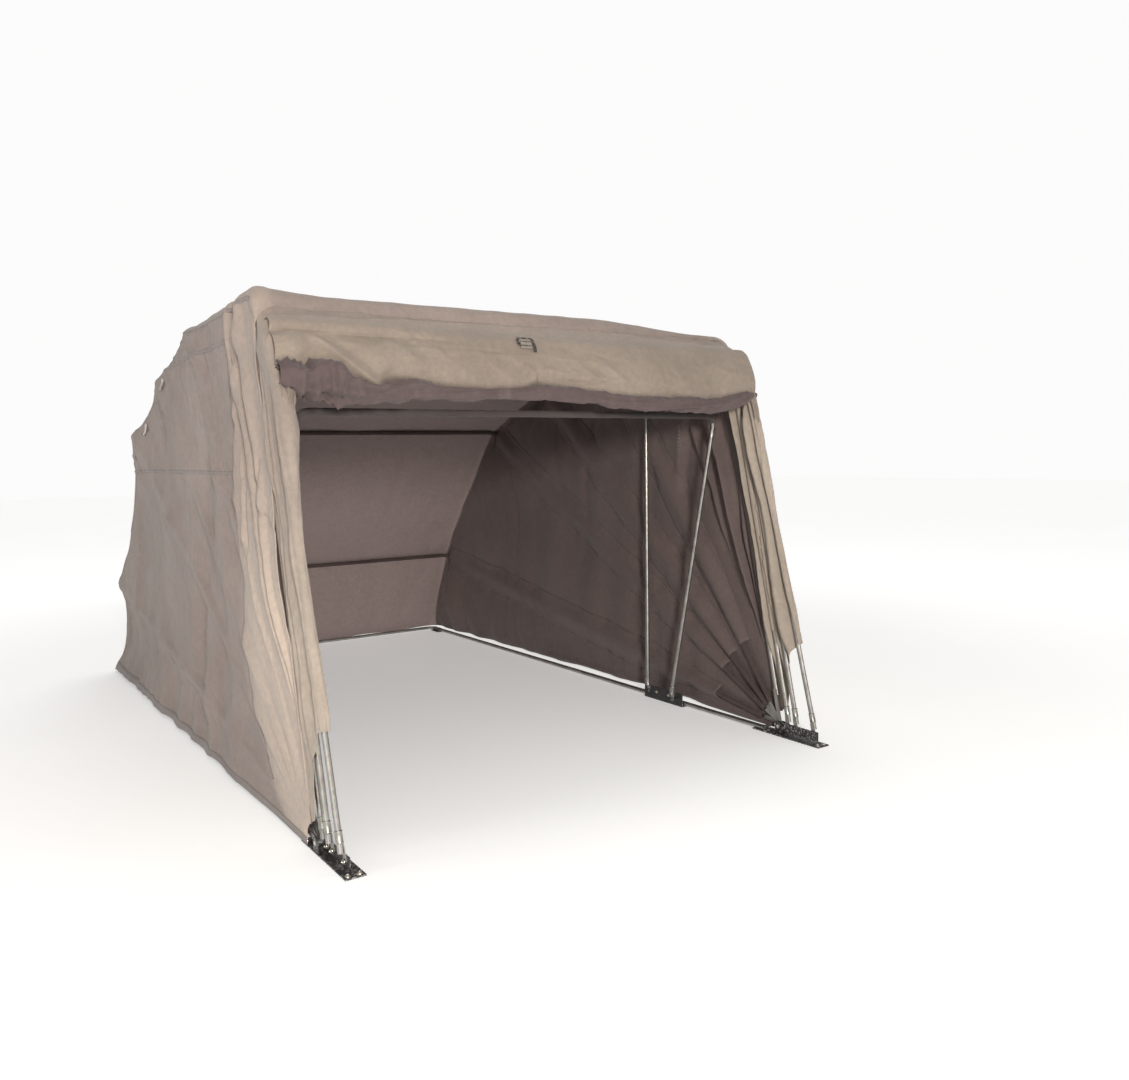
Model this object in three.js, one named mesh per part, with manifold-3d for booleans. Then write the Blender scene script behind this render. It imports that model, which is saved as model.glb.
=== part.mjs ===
// Fold-back vehicle shelter on U-bows, standing half open: the rear half is spread over its bows and
// the front cover is folded up against the ridge bow. Millimetres, +X right seen from the front,
// +Y to the rear, +Z up. Shapes are drawn with y = 0 at the nose of the pivot brackets' datum and
// are moved to the row frame (origin at the centre of the base) as each mesh is added.
import * as THREE from "three";
import { mergeVertices } from "three/addons/utils/BufferGeometryUtils.js";
import Module from "manifold-3d";

const wasm = await Module();
wasm.setup();

// ---- driving dimensions ----
const GAP = 0.3; // between touching pieces
const DATUM_TO_CENTRE = 2132.8; // bracket datum to the middle of the footprint
const TUBE_R = 12.5;
const BORE_R = 11;
const TUBE_SIDES = 12;
const BORE_SIDES = 8;
const BOW_X = 1285; // plane of every bow's legs, either side
const ELBOW_R = 60;
const ELBOW_STEPS = 4;
const PIVOT_Z = 42;
const MAIN_PIVOT_Y = 265; // ridge bow and the rear bows turn here
const PIN_R = 6;
const LUG_T = 4;
const LUG_PITCH = 4.6;
const LUG_X = 1272; // inner face of the innermost lug
const LUG_HALF = 12;
const LUG_END_R = 13;
const LUG_IN_TUBE = 34;
const SHORT_LUG = 30; // pivot to tube, bows with a pivot to themselves
const LONG_LUG = 165; // pivot to tube, bows that share the main pin

// crossbar centres at rest, and each bow's own pivot; lane counts lugs outwards along the main pin
const BOWS = [
  { name: "front_bow", pivotY: 36, bar: [565, 2005], lane: 0, lug: SHORT_LUG },
  { name: "second_bow", pivotY: 155, bar: [608, 1990], lane: 0, lug: SHORT_LUG },
  { name: "third_bow", pivotY: 210, bar: [662, 2030], lane: 0, lug: SHORT_LUG },
  { name: "ridge_bow", pivotY: MAIN_PIVOT_Y, bar: [740, 2110], lane: 0, lug: LONG_LUG },
  { name: "roof_bow", pivotY: MAIN_PIVOT_Y, bar: [1800, 2150], lane: 1, lug: LONG_LUG },
  { name: "shoulder_bow", pivotY: MAIN_PIVOT_Y, bar: [2510, 1960], lane: 2, lug: LONG_LUG },
  { name: "rear_bow", pivotY: MAIN_PIVOT_Y, bar: [3215, 1680], lane: 3, lug: LONG_LUG },
  { name: "tail_bow", pivotY: MAIN_PIVOT_Y, bar: [4050, 670], lane: 4, lug: LONG_LUG },
];
// inner frames that hold the roof up; post is the plane of the posts, lug the inner face of its lug
const STAND_PIVOT_Z = 50;
const STANDS = [
  { name: "roof_stand", pivotY: 1285, bar: [1285, 2080], post: 1200.5, lug: 1209.5 },
  { name: "brace_stand", pivotY: 1030, bar: [660, 1700], post: 1165, lug: 1173 },
];

const RAIL_X = 1238;
const RAIL_Z = 20.5;
const RAIL_FRONT_Y = 345;
const RAIL_REAR_Y = 4262;
const SPIGOT_R = 9.8;
const SPIGOT_L = 55;
const PLATE_T = 6;
const BASE_PLATE = { x: [1222, 1304], y: [-35, 420] };
const EAR_Y = [238, 292];
const EARS_X = [[1258, 1263], [1298.5, 1302.5]];
const CARRIER = { x: [1266, 1271.7], y: [6, 292], z: [19, 65] };
const RIVET_HEAD_R = 10;
const RIVET_HEAD_T = 3.4;
const STAND_PLATE = { x: [1214, 1220], y: [985, 1330], z: 80, foot: 1256 };
const FOOT_PAD = { x: [1205, 1271], y: [4110, 4230] };

const CLOTH_T = 1.6;
const CLOTH_OFF = 15; // bar centre to the cloth's inner face
const WALL_X = 1308;
const CANOPY_X = 1307.5;
const HEM_Y = 4300;
const HEM_Z = 12;
const WALL_FOOT_Y = 332;
const CURTAIN_HEM_Z = 500;
const APRON = { x: 1300, sheet: [16, 18.6], top: -8, drop: 262, rollR: 32, rollSides: 12 };
const HANDLE = { x: [-165, -95], down: [6, 34], out: [19.2, 23] };

// ---- materials ----
const GALVANISED = [0xb9bcbd, 0.36, 0.85];
const BLACK_STEEL = [0x1b1a1a, 0.55, 0.5];
const ZINC = [0x8f9190, 0.4, 0.8];
const CLOTH = [0xa2958a, 0.92, 0];
const CLOTH_FRONT = [0xb3a595, 0.92, 0];
const WEBBING = [0x3a3533, 0.85, 0];

const part = new THREE.Group();

function add(name, geometry, [color, roughness, metalness]) {
  const mesh = new THREE.Mesh(
    geometry.translate(0, -DATUM_TO_CENTRE, 0),
    new THREE.MeshStandardMaterial({ color, roughness, metalness }),
  );
  mesh.name = name;
  part.add(mesh);
}

// ---- solids ----
function toSolid(geometry) {
  const bare = new THREE.BufferGeometry();
  bare.setAttribute("position", geometry.getAttribute("position"));
  if (geometry.index) bare.setIndex(geometry.index);
  const merged = mergeVertices(bare, 1e-4);
  return new wasm.Manifold(new wasm.Mesh({
    numProp: 3,
    vertProperties: new Float32Array(merged.getAttribute("position").array),
    triVerts: new Uint32Array(merged.index.array),
  }));
}

function toGeometry(solid) {
  const mesh = solid.getMesh();
  const geometry = new THREE.BufferGeometry();
  geometry.setAttribute("position", new THREE.BufferAttribute(mesh.vertProperties, 3));
  geometry.setIndex(new THREE.BufferAttribute(mesh.triVerts, 1));
  return geometry;
}

const join = (first, ...rest) => rest.reduce((whole, solid) => whole.add(solid), first);

// box from its low and high x, y and z
function box([x0, x1], [y0, y1], [z0, z1]) {
  return new THREE.BoxGeometry(x1 - x0, y1 - y0, z1 - z0)
    .translate((x0 + x1) / 2, (y0 + y1) / 2, (z0 + z1) / 2);
}

// a y-z outline given thickness along x, from x0 to x1
function slab(outline, x0, x1) {
  const shape = new THREE.Shape(outline.map(([y, z]) => new THREE.Vector2(y, z)));
  const low = Math.min(x0, x1);
  const geometry = new THREE.ExtrudeGeometry(shape, {
    depth: Math.abs(x1 - x0), bevelEnabled: false,
  });
  // shape x, y and depth become y, z and x
  return geometry.applyMatrix4(new THREE.Matrix4().set(
    0, 0, 1, low,
    1, 0, 0, 0,
    0, 1, 0, 0,
    0, 0, 0, 1,
  ));
}

function rodX(radius, y, z, x0, x1, sides = 12) {
  return new THREE.CylinderGeometry(radius, radius, Math.abs(x1 - x0), sides)
    .rotateZ(Math.PI / 2)
    .translate((x0 + x1) / 2, y, z);
}

// a hollow tube through stations { at, along, stretch } that all lie in the plane with this normal
function sweepTube(stations, normal) {
  const position = [];
  const index = [];
  const radii = [[TUBE_R, TUBE_SIDES], [BORE_R, BORE_SIDES]];
  const ringSize = TUBE_SIDES + BORE_SIDES;
  for (const { at, along, stretch } of stations) {
    const across = new THREE.Vector3().crossVectors(normal, along).multiplyScalar(stretch);
    for (const [radius, sides] of radii) {
      for (let i = 0; i < sides; i += 1) {
        const turn = (2 * Math.PI * (i + 0.5)) / sides;
        const point = at.clone()
          .addScaledVector(across, radius * Math.cos(turn))
          .addScaledVector(normal, radius * Math.sin(turn));
        position.push(point.x, point.y, point.z);
      }
    }
  }
  const quad = (a, b, c, d) => index.push(a, c, b, a, d, c);
  for (let s = 0; s + 1 < stations.length; s += 1) {
    const [low, high] = [s * ringSize, (s + 1) * ringSize];
    for (let i = 0; i < TUBE_SIDES; i += 1) {
      const next = (i + 1) % TUBE_SIDES;
      quad(low + i, high + i, high + next, low + next);
    }
    for (let i = 0; i < BORE_SIDES; i += 1) {
      const [here, next] = [TUBE_SIDES + i, TUBE_SIDES + ((i + 1) % BORE_SIDES)];
      quad(low + here, low + next, high + next, high + here);
    }
  }
  const circle = (radius, sides) => Array.from({ length: sides }, (_, i) => {
    const turn = (2 * Math.PI * (i + 0.5)) / sides;
    return new THREE.Vector2(radius * Math.cos(turn), radius * Math.sin(turn));
  });
  const rim = THREE.ShapeUtils.triangulateShape(
    circle(TUBE_R, TUBE_SIDES),
    [circle(BORE_R, BORE_SIDES).reverse()],
  );
  const last = (stations.length - 1) * ringSize;
  const ringIndex = (i) => (i < TUBE_SIDES ? i : TUBE_SIDES + (ringSize - 1 - i));
  for (const triangle of rim) {
    const [a, b, c] = triangle.map(ringIndex);
    index.push(a, c, b, last + a, last + b, last + c);
  }
  const geometry = new THREE.BufferGeometry();
  geometry.setAttribute("position", new THREE.Float32BufferAttribute(position, 3));
  geometry.setIndex(index);
  return geometry;
}

// ---- hoops: every bow and stand is two legs and a crossbar with its elbows ----
const X_AXIS = new THREE.Vector3(1, 0, 0);

function hoopFrame(pivotY, pivotZ, [barY, barZ]) {
  const reach = Math.hypot(barY - pivotY, barZ - pivotZ);
  const dir = new THREE.Vector3(0, (barY - pivotY) / reach, (barZ - pivotZ) / reach);
  const normal = new THREE.Vector3().crossVectors(X_AXIS, dir);
  const pivot = new THREE.Vector3(0, pivotY, pivotZ);
  const point = (along, x) => pivot.clone().addScaledVector(dir, along).setX(x);
  return { reach, dir, normal, pivot, point };
}

function crossbar({ reach, dir, normal, point }, halfWidth) {
  const stations = [];
  for (const side of [-1, 1]) {
    const elbow = [];
    for (let i = 0; i <= ELBOW_STEPS; i += 1) {
      const turn = (i / ELBOW_STEPS) * (Math.PI / 2);
      const at = point(
        reach - ELBOW_R * (1 - Math.sin(turn)),
        side * (halfWidth - ELBOW_R * (1 - Math.cos(turn))),
      );
      const along = dir.clone().multiplyScalar(-side * Math.cos(turn))
        .addScaledVector(X_AXIS, Math.sin(turn));
      const inner = i > 0 && i < ELBOW_STEPS;
      const mitre = Math.PI / 4 / ELBOW_STEPS;
      elbow.push({ at, along, stretch: inner ? 1 / Math.cos(mitre) : 1 });
    }
    stations.push(...(side < 0 ? elbow : elbow.reverse()));
  }
  return sweepTube(stations, normal);
}

function leg(frame, side, halfWidth, lugX, lugLength, pinR) {
  const { reach, dir, normal, pivot, point } = frame;
  const top = reach - ELBOW_R - GAP;
  const ends = [lugLength, top].map((along) => (
    { at: point(along, side * halfWidth), along: dir, stretch: 1 }
  ));
  const inLeg = (along, across) => {
    const spot = point(along, 0).addScaledVector(normal, across);
    return [spot.y, spot.z];
  };
  const outline = [];
  const endSteps = 8;
  for (let i = 0; i <= endSteps; i += 1) {
    const turn = Math.PI / 2 + (i / endSteps) * Math.PI;
    outline.push(inLeg(LUG_END_R * Math.cos(turn), LUG_END_R * Math.sin(turn)));
  }
  outline.push(
    inLeg(lugLength + LUG_IN_TUBE, -LUG_HALF + 1.5),
    inLeg(lugLength + LUG_IN_TUBE, LUG_HALF - 1.5),
  );
  const lug = slab(outline, side * lugX, side * (lugX + LUG_T));
  const hole = rodX(pinR + GAP, pivot.y, pivot.z, side * (lugX - 1), side * (lugX + LUG_T + 1));
  return toGeometry(toSolid(sweepTube(ends, normal)).add(toSolid(lug)).subtract(toSolid(hole)));
}

for (const { name, pivotY, bar, lane, lug } of BOWS) {
  const frame = hoopFrame(pivotY, PIVOT_Z, bar);
  add(`${name}_crossbar`, crossbar(frame, BOW_X), GALVANISED);
  for (const [label, side] of [["left", -1], ["right", 1]]) {
    const geometry = leg(frame, side, BOW_X, LUG_X + lane * LUG_PITCH, lug, PIN_R);
    add(`${name}_${label}_leg`, geometry, GALVANISED);
  }
}

for (const { name, pivotY, bar, post, lug } of STANDS) {
  const frame = hoopFrame(pivotY, STAND_PIVOT_Z, bar);
  add(`${name}_crossbar`, crossbar(frame, post), GALVANISED);
  for (const [label, side] of [["left", -1], ["right", 1]]) {
    add(`${name}_${label}_post`, leg(frame, side, post, lug, SHORT_LUG, PIN_R), GALVANISED);
  }
}

// ---- a rivet: shank from a plate's face out past a lug, with a formed head ----
function rivet(side, y, z, faceX, lugX, outwards) {
  const end = outwards > 0 ? lugX + LUG_T + GAP : lugX - GAP;
  const shank = rodX(PIN_R, y, z, side * (faceX - outwards), side * end);
  const headEnd = end + outwards * RIVET_HEAD_T;
  const head = rodX(RIVET_HEAD_R, y, z, side * (end - outwards * 0.01), side * headEnd);
  return toSolid(shank).add(toSolid(head));
}

for (const [label, side] of [["left", -1], ["right", 1]]) {
  const spanX = ([low, high]) => (side < 0 ? [-high, -low] : [low, high]);

  // base bracket: flat plate, two ears for the main pin, and the spigot block that takes the rail
  const ears = EARS_X.map(([low, high]) => {
    const [front, rear] = EAR_Y;
    const middle = (front + rear) / 2;
    const outline = [
      [front, PLATE_T - 1], [rear, PLATE_T - 1], [rear, PIVOT_Z], [middle + 15, PIVOT_Z + 20],
      [middle - 15, PIVOT_Z + 20], [front, PIVOT_Z],
    ];
    return toSolid(slab(outline, side * low, side * high));
  });
  const block = box(
    spanX([RAIL_X - 16, RAIL_X + 16]), [RAIL_FRONT_Y - 27, RAIL_FRONT_Y - GAP],
    [PLATE_T - 1, RAIL_Z + 15],
  );
  const spigot = new THREE.CylinderGeometry(SPIGOT_R, SPIGOT_R, SPIGOT_L + 2, 8)
    .translate(side * RAIL_X, RAIL_FRONT_Y - GAP + SPIGOT_L / 2 - 1, RAIL_Z);
  const mainHole = rodX(PIN_R + GAP, MAIN_PIVOT_Y, PIVOT_Z, side * 1250, side * 1310);
  const bracket = join(
    toSolid(box(spanX(BASE_PLATE.x), BASE_PLATE.y, [0, PLATE_T])),
    ...ears, toSolid(block), toSolid(spigot),
  ).subtract(toSolid(mainHole));
  add(`base_bracket_${label}`, toGeometry(bracket), BLACK_STEEL);

  // carrier: fixed to the ridge bow, it carries the three front bows on rivets
  const plate = toSolid(box(spanX(CARRIER.x), CARRIER.y, CARRIER.z));
  const rivets = BOWS.slice(0, 3)
    .map(({ pivotY }) => rivet(side, pivotY, PIVOT_Z, CARRIER.x[1], LUG_X, 1));
  const carrier = join(plate, ...rivets).subtract(toSolid(mainHole.clone()));
  add(`pivot_carrier_${label}`, toGeometry(carrier), BLACK_STEEL);

  // main pin, headed at both ends
  const [inner, outer] = [EARS_X[0][0], EARS_X[1][1]];
  const pin = join(
    toSolid(rodX(PIN_R, MAIN_PIVOT_Y, PIVOT_Z, side * (inner - 1), side * (outer + 1))),
    toSolid(rodX(11, MAIN_PIVOT_Y, PIVOT_Z, side * (inner - GAP), side * (inner - 7), 6)),
    toSolid(rodX(11, MAIN_PIVOT_Y, PIVOT_Z, side * (outer + GAP), side * (outer + 2.8), 6)),
  );
  add(`main_pin_${label}`, toGeometry(pin), ZINC);

  // ground rail
  const railEnds = [RAIL_FRONT_Y, RAIL_REAR_Y - ELBOW_R - GAP].map((y) => (
    { at: new THREE.Vector3(side * RAIL_X, y, RAIL_Z), along: new THREE.Vector3(0, 1, 0), stretch: 1 }
  ));
  add(`ground_rail_${label}`, sweepTube(railEnds, new THREE.Vector3(0, 0, 1)), GALVANISED);

  // stand plate: foot under the rail, upright beside it, rivets that the stands turn on
  const upright = box(spanX(STAND_PLATE.x), STAND_PLATE.y, [0, STAND_PLATE.z]);
  const railUnderside = RAIL_Z - TUBE_R - GAP;
  const flange = box(
    spanX([STAND_PLATE.x[0] + 1, STAND_PLATE.foot]), STAND_PLATE.y, [0, railUnderside],
  );
  const standRivets = STANDS
    .map(({ pivotY, lug }) => rivet(side, pivotY, STAND_PIVOT_Z, STAND_PLATE.x[0], lug, -1));
  const standPlate = join(toSolid(upright), toSolid(flange), ...standRivets);
  add(`stand_plate_${label}`, toGeometry(standPlate), BLACK_STEEL);

  add(`rear_foot_${label}`, box(spanX(FOOT_PAD.x), FOOT_PAD.y, [0, railUnderside]), BLACK_STEEL);
}

// rear ground rail with its two corners
add("ground_rail_rear", crossbar(
  hoopFrame(0, RAIL_Z, [RAIL_REAR_Y, RAIL_Z]), RAIL_X,
), GALVANISED);

// ---- cloth ----
const unit = ([ay, az], [by, bz]) => {
  const length = Math.hypot(by - ay, bz - az);
  return [(by - ay) / length, (bz - az) / length];
};

// the line moved sideways by d, to its left as it runs
function offset(line, d) {
  return line.map(([y, z], i) => {
    const before = unit(line[Math.max(i - 1, 0)], line[Math.max(i, 1)]);
    const after = unit(line[Math.min(i, line.length - 2)], line[Math.min(i + 1, line.length - 1)]);
    const [ny, nz] = [-(before[1] + after[1]), before[0] + after[0]];
    const size = Math.hypot(ny, nz);
    const reach = (2 * d) / (size * size);
    return [y + ny * reach, z + nz * reach];
  });
}

function strip(line, inner, halfWidth) {
  const outline = [...offset(line, inner), ...offset(line, inner + CLOTH_T).reverse()];
  return slab(outline, -halfWidth, halfWidth);
}

const bars = Object.fromEntries(BOWS.map(({ name, bar }) => [name, bar]));
const rearLine = [
  bars.ridge_bow, bars.roof_bow, bars.shoulder_bow, bars.rear_bow, bars.tail_bow,
  [HEM_Y - CLOTH_OFF, HEM_Z],
];
add("canopy", strip(rearLine, CLOTH_OFF, CANOPY_X), CLOTH);

const canopyTop = offset(rearLine, CLOTH_OFF + CLOTH_T);
const [bandFront, bandRear] = [bars.front_bow, canopyTop[0]];
const band = [
  [bandFront[0] - 13, bandFront[1] + 1], [bandFront[0], bandFront[1]],
  [bandRear[0] - 3, bandRear[1] - CLOTH_OFF - CLOTH_T],
];
add("front_band", strip(band, CLOTH_OFF, CANOPY_X), CLOTH_FRONT);

const wallOutline = [
  [WALL_FOOT_Y, HEM_Z], [canopyTop[0][0], canopyTop[0][1]], ...canopyTop.slice(1, -1),
  [HEM_Y, HEM_Z],
];
const legFront = (z) => {
  const { pivotY, bar } = BOWS[0];
  return pivotY + ((z - PIVOT_Z) * (bar[0] - pivotY)) / (bar[1] - PIVOT_Z) - 17;
};
const curtainOutline = [
  [WALL_FOOT_Y - 2, HEM_Z + 40], [legFront(CURTAIN_HEM_Z), CURTAIN_HEM_Z],
  [legFront(bars.front_bow[1]), bars.front_bow[1] + CLOTH_OFF],
  [canopyTop[0][0] - 2, canopyTop[0][1]],
];
for (const [label, side] of [["left", -1], ["right", 1]]) {
  const faces = [side * WALL_X, side * (WALL_X + CLOTH_T)];
  add(`wall_${label}`, slab(wallOutline, ...faces), CLOTH);
  add(`curtain_${label}`, slab(curtainOutline, ...faces), CLOTH_FRONT);
}

// rolled front apron and its pull handle, against the front of the front bow
const apronFrame = hoopFrame(BOWS[0].pivotY, PIVOT_Z, BOWS[0].bar);
const onApron = (down, out) => {
  const spot = apronFrame.point(apronFrame.reach - down, 0).addScaledVector(apronFrame.normal, out);
  return [spot.y, spot.z];
};
const { sheet, rollR, rollSides } = APRON;
const rollPoints = Array.from({ length: rollSides }, (_, i) => {
  const turn = (2 * Math.PI * (i + 0.5)) / rollSides;
  return onApron(APRON.drop + rollR * Math.cos(turn), sheet[0] + rollR * (1 - Math.sin(turn)));
});
const apronSheet = [
  onApron(APRON.top, sheet[0]), onApron(APRON.drop, sheet[0]), onApron(APRON.drop, sheet[1]),
  onApron(APRON.top, sheet[1]),
];
const [apronX, rollX] = [APRON.x, APRON.x - 2];
add("front_apron", toGeometry(join(
  toSolid(slab(apronSheet, -apronX, apronX)), toSolid(slab(rollPoints.reverse(), -rollX, rollX)),
)), CLOTH_FRONT);
const handle = [
  onApron(HANDLE.down[0], HANDLE.out[0]), onApron(HANDLE.down[1], HANDLE.out[0]),
  onApron(HANDLE.down[1], HANDLE.out[1]), onApron(HANDLE.down[0], HANDLE.out[1]),
];
add("pull_handle", slab(handle, ...HANDLE.x), WEBBING);

export default part;
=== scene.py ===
"""Looks of a fold-back vehicle shelter: gathered cloth over hinged U-bows. Metres, row frame, +Z up."""
import math
import bmesh
import bpy
import numpy as np
from mathutils import Matrix, Vector


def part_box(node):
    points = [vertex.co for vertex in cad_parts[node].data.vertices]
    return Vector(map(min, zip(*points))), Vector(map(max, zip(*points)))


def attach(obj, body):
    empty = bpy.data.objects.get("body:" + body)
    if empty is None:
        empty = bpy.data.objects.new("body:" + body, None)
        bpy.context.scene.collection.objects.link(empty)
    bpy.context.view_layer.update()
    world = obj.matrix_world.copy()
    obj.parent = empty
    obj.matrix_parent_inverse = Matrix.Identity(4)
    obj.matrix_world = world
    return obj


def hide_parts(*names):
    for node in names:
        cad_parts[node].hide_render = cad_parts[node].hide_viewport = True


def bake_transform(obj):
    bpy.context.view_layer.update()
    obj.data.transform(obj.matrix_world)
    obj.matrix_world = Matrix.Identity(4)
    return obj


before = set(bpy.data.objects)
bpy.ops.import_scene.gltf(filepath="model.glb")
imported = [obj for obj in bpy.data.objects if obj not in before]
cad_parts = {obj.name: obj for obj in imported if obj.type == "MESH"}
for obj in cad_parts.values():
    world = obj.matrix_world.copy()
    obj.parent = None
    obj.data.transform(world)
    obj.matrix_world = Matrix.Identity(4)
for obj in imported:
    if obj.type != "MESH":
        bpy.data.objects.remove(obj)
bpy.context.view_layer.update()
SHIFT_Y = -2.1328          # the shapes below are drawn from the main brackets' datum


# ---------------------------------------------------------------- camera
def make_camera():
    yaw, pitch, roll = (math.radians(a) for a in (34.63, -6.33, -0.98))
    fwd = Vector((math.sin(yaw) * math.cos(pitch), math.cos(yaw) * math.cos(pitch), math.sin(pitch)))
    right = Vector((math.cos(yaw), -math.sin(yaw), 0))
    up = right.cross(fwd)
    c, s = math.cos(roll), math.sin(roll)
    side, top = c * right + s * up, -s * right + c * up
    data = bpy.data.cameras.new("camera")
    data.lens, data.sensor_width = 30.46, 36.0
    data.shift_x, data.shift_y = 0.0013, 0.0177
    data.clip_start, data.clip_end = 0.05, 200
    cam = bpy.data.objects.new("camera", data)
    bpy.context.scene.collection.objects.link(cam)
    rot = Matrix((side, top, -fwd)).transposed().to_4x4()
    cam.matrix_world = Matrix.Translation((-2.508, -5.3188, 1.509)) @ rot
    bpy.context.scene.camera = cam


make_camera()


# ---------------------------------------------------------------- noise
def _hash(ix, iy, seed):
    m = np.uint64(0xFFFFFFFF)
    h = (ix.astype(np.int64).astype(np.uint64) * np.uint64(374761393)
         + iy.astype(np.int64).astype(np.uint64) * np.uint64(668265263)
         + np.uint64(seed * 1013904223 & 0xFFFFFFFF)) & m
    h = ((h ^ (h >> np.uint64(13))) * np.uint64(1274126177)) & m
    h = h ^ (h >> np.uint64(16))
    h = (h * np.uint64(2246822519)) & m
    return (h ^ (h >> np.uint64(15))).astype(np.float64) / 4294967296.0


def perlin(x, y, seed=0):
    """Smooth noise from about -1 to 1, one feature per unit."""
    x, y = np.broadcast_arrays(np.asarray(x, float), np.asarray(y, float))
    xi, yi = np.floor(x), np.floor(y)
    fx, fy = x - xi, y - yi
    ux = fx * fx * fx * (fx * (fx * 6 - 15) + 10)
    uy = fy * fy * fy * (fy * (fy * 6 - 15) + 10)

    def corner(dx, dy):
        a = _hash(xi + dx, yi + dy, seed) * 2 * math.pi
        return np.cos(a) * (fx - dx) + np.sin(a) * (fy - dy)

    n0 = corner(0, 0) * (1 - ux) + corner(1, 0) * ux
    n1 = corner(0, 1) * (1 - ux) + corner(1, 1) * ux
    return (n0 * (1 - uy) + n1 * uy) * 1.5


def folds(x, y, seed, sharp=1.0):
    """Noise as rounded swells that meet in creases, from -1 to 1."""
    return 1 - 2 * np.abs(perlin(x, y, seed)) ** sharp


def smooth(a, b, x):
    t = np.clip((np.asarray(x, float) - a) / (b - a), 0, 1)
    return t * t * (3 - 2 * t)


def bump(x, centre, width):
    return np.exp(-(((x - centre) / width) ** 2))


# ---------------------------------------------------------------- mesh helpers
def row_frame(p):
    q = np.array(p, float)
    q[..., 1] += SHIFT_Y
    return q


def grid_mesh(name, P, closed=False, tone=None, mats=(), flip=False, inner=None):
    """A mesh from an (n, m, 3) grid of datum-frame points; closed joins its last column to the first."""
    n, m = P.shape[:2]
    verts = row_frame(P).reshape(-1, 3)
    k, j = np.meshgrid(np.arange(n - 1), np.arange(m if closed else m - 1), indexing="ij")
    j1 = (j + 1) % m
    quads = np.stack([k * m + j, (k + 1) * m + j, (k + 1) * m + j1, k * m + j1], -1).reshape(-1, 4)
    if flip:
        quads = quads[:, ::-1]
    mesh = bpy.data.meshes.new(name)
    mesh.vertices.add(len(verts))
    mesh.vertices.foreach_set("co", verts.astype(np.float32).ravel())
    mesh.loops.add(quads.size)
    mesh.loops.foreach_set("vertex_index", quads.astype(np.int32).ravel())
    mesh.polygons.add(len(quads))
    mesh.polygons.foreach_set("loop_start", np.arange(0, quads.size, 4, dtype=np.int32))
    mesh.polygons.foreach_set("use_smooth", np.ones(len(quads), bool))
    mesh.update(calc_edges=True)
    mesh.validate()
    rest = mesh.attributes.new("rest", "FLOAT_VECTOR", "POINT")
    rest.data.foreach_set("vector", verts.astype(np.float32).ravel())
    for label, share in (("tone", tone), ("inner", inner)):
        shade = mesh.attributes.new(label, "FLOAT", "POINT")
        values = np.zeros(len(verts)) if share is None else np.asarray(share, float).ravel()
        shade.data.foreach_set("value", values.astype(np.float32))
    for mat in mats:
        mesh.materials.append(mat)
    o = bpy.data.objects.new(name, mesh)
    bpy.context.scene.collection.objects.link(o)
    return o


def joined(name, parts):
    """One object from several meshes."""
    with bpy.context.temp_override(active_object=parts[0], object=parts[0], selected_objects=parts,
                                   selected_editable_objects=parts):
        bpy.ops.object.join()
    parts[0].name = name
    return parts[0]


def thicken(o, thickness, inner=0):
    mod = o.modifiers.new("thickness", "SOLIDIFY")
    mod.thickness, mod.offset = thickness, -1
    mod.material_offset = inner


def blend_by(o):
    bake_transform(o)


def sweep(path, radius, sides, up=(1, 0, 0)):
    """Rings of points round a path; radius is a number or an (n, sides) array."""
    path = np.asarray(path, float)
    t = np.gradient(path, axis=0)
    t /= np.linalg.norm(t, axis=1)[:, None]
    up = np.broadcast_to(np.asarray(up, float), path.shape)
    a = np.cross(up, t)
    a /= np.linalg.norm(a, axis=1)[:, None]
    b = np.cross(t, a)
    th = np.linspace(0, 2 * math.pi, sides, endpoint=False)
    r = np.broadcast_to(np.asarray(radius, float), (len(path), sides))
    return (path[:, None, :] + r[..., None] * (np.cos(th)[None, :, None] * a[:, None, :]
                                               + np.sin(th)[None, :, None] * b[:, None, :]))


# ---------------------------------------------------------------- materials
def new_mat(name):
    mat = bpy.data.materials.new(name)
    mat.use_nodes = True
    nt = mat.node_tree
    return mat, nt, nt.nodes["Principled BSDF"]


def node(nt, kind, **sockets):
    n = nt.nodes.new(kind)
    for k, v in sockets.items():
        if k.startswith("_"):
            setattr(n, k[1:], v)
        else:
            n.inputs[k.replace("__", " ")].default_value = v
    return n


def ramp(nt, fac, stops):
    n = nt.nodes.new("ShaderNodeValToRGB")
    while len(n.color_ramp.elements) < len(stops):
        n.color_ramp.elements.new(0.5)
    for e, (at, col) in zip(n.color_ramp.elements, stops):
        e.position, e.color = at, (*col, 1) if len(col) == 3 else col
    nt.links.new(fac, n.inputs["Fac"])
    return n.outputs["Color"]


def grey(nt, fac, start, end, low=0.0, high=1.0):
    return ramp(nt, fac, [(start, (low,) * 3), (end, (high,) * 3)])


def feed(nt, sockets, values):
    for socket, value in zip(sockets, values):
        if isinstance(value, bpy.types.NodeSocket):
            nt.links.new(value, socket)
        else:
            socket.default_value = value if isinstance(value, (int, float)) else (*value, 1)


def mix(nt, fac, a, b, kind="MIX"):
    n = node(nt, "ShaderNodeMix", _data_type="RGBA", _blend_type=kind)
    feed(nt, [n.inputs[k] for k in (0, 6, 7)], (fac, a, b))
    return n.outputs[2]


def math_node(nt, op, a, b=0.0, c=0.0):
    n = node(nt, "ShaderNodeMath", _operation=op)
    feed(nt, n.inputs, (a, b, c))
    return n.outputs[0]


def stretched(nt, vector, scale):
    n = node(nt, "ShaderNodeMapping", Scale=scale)
    nt.links.new(vector, n.inputs["Vector"])
    return n.outputs[0]


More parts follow.
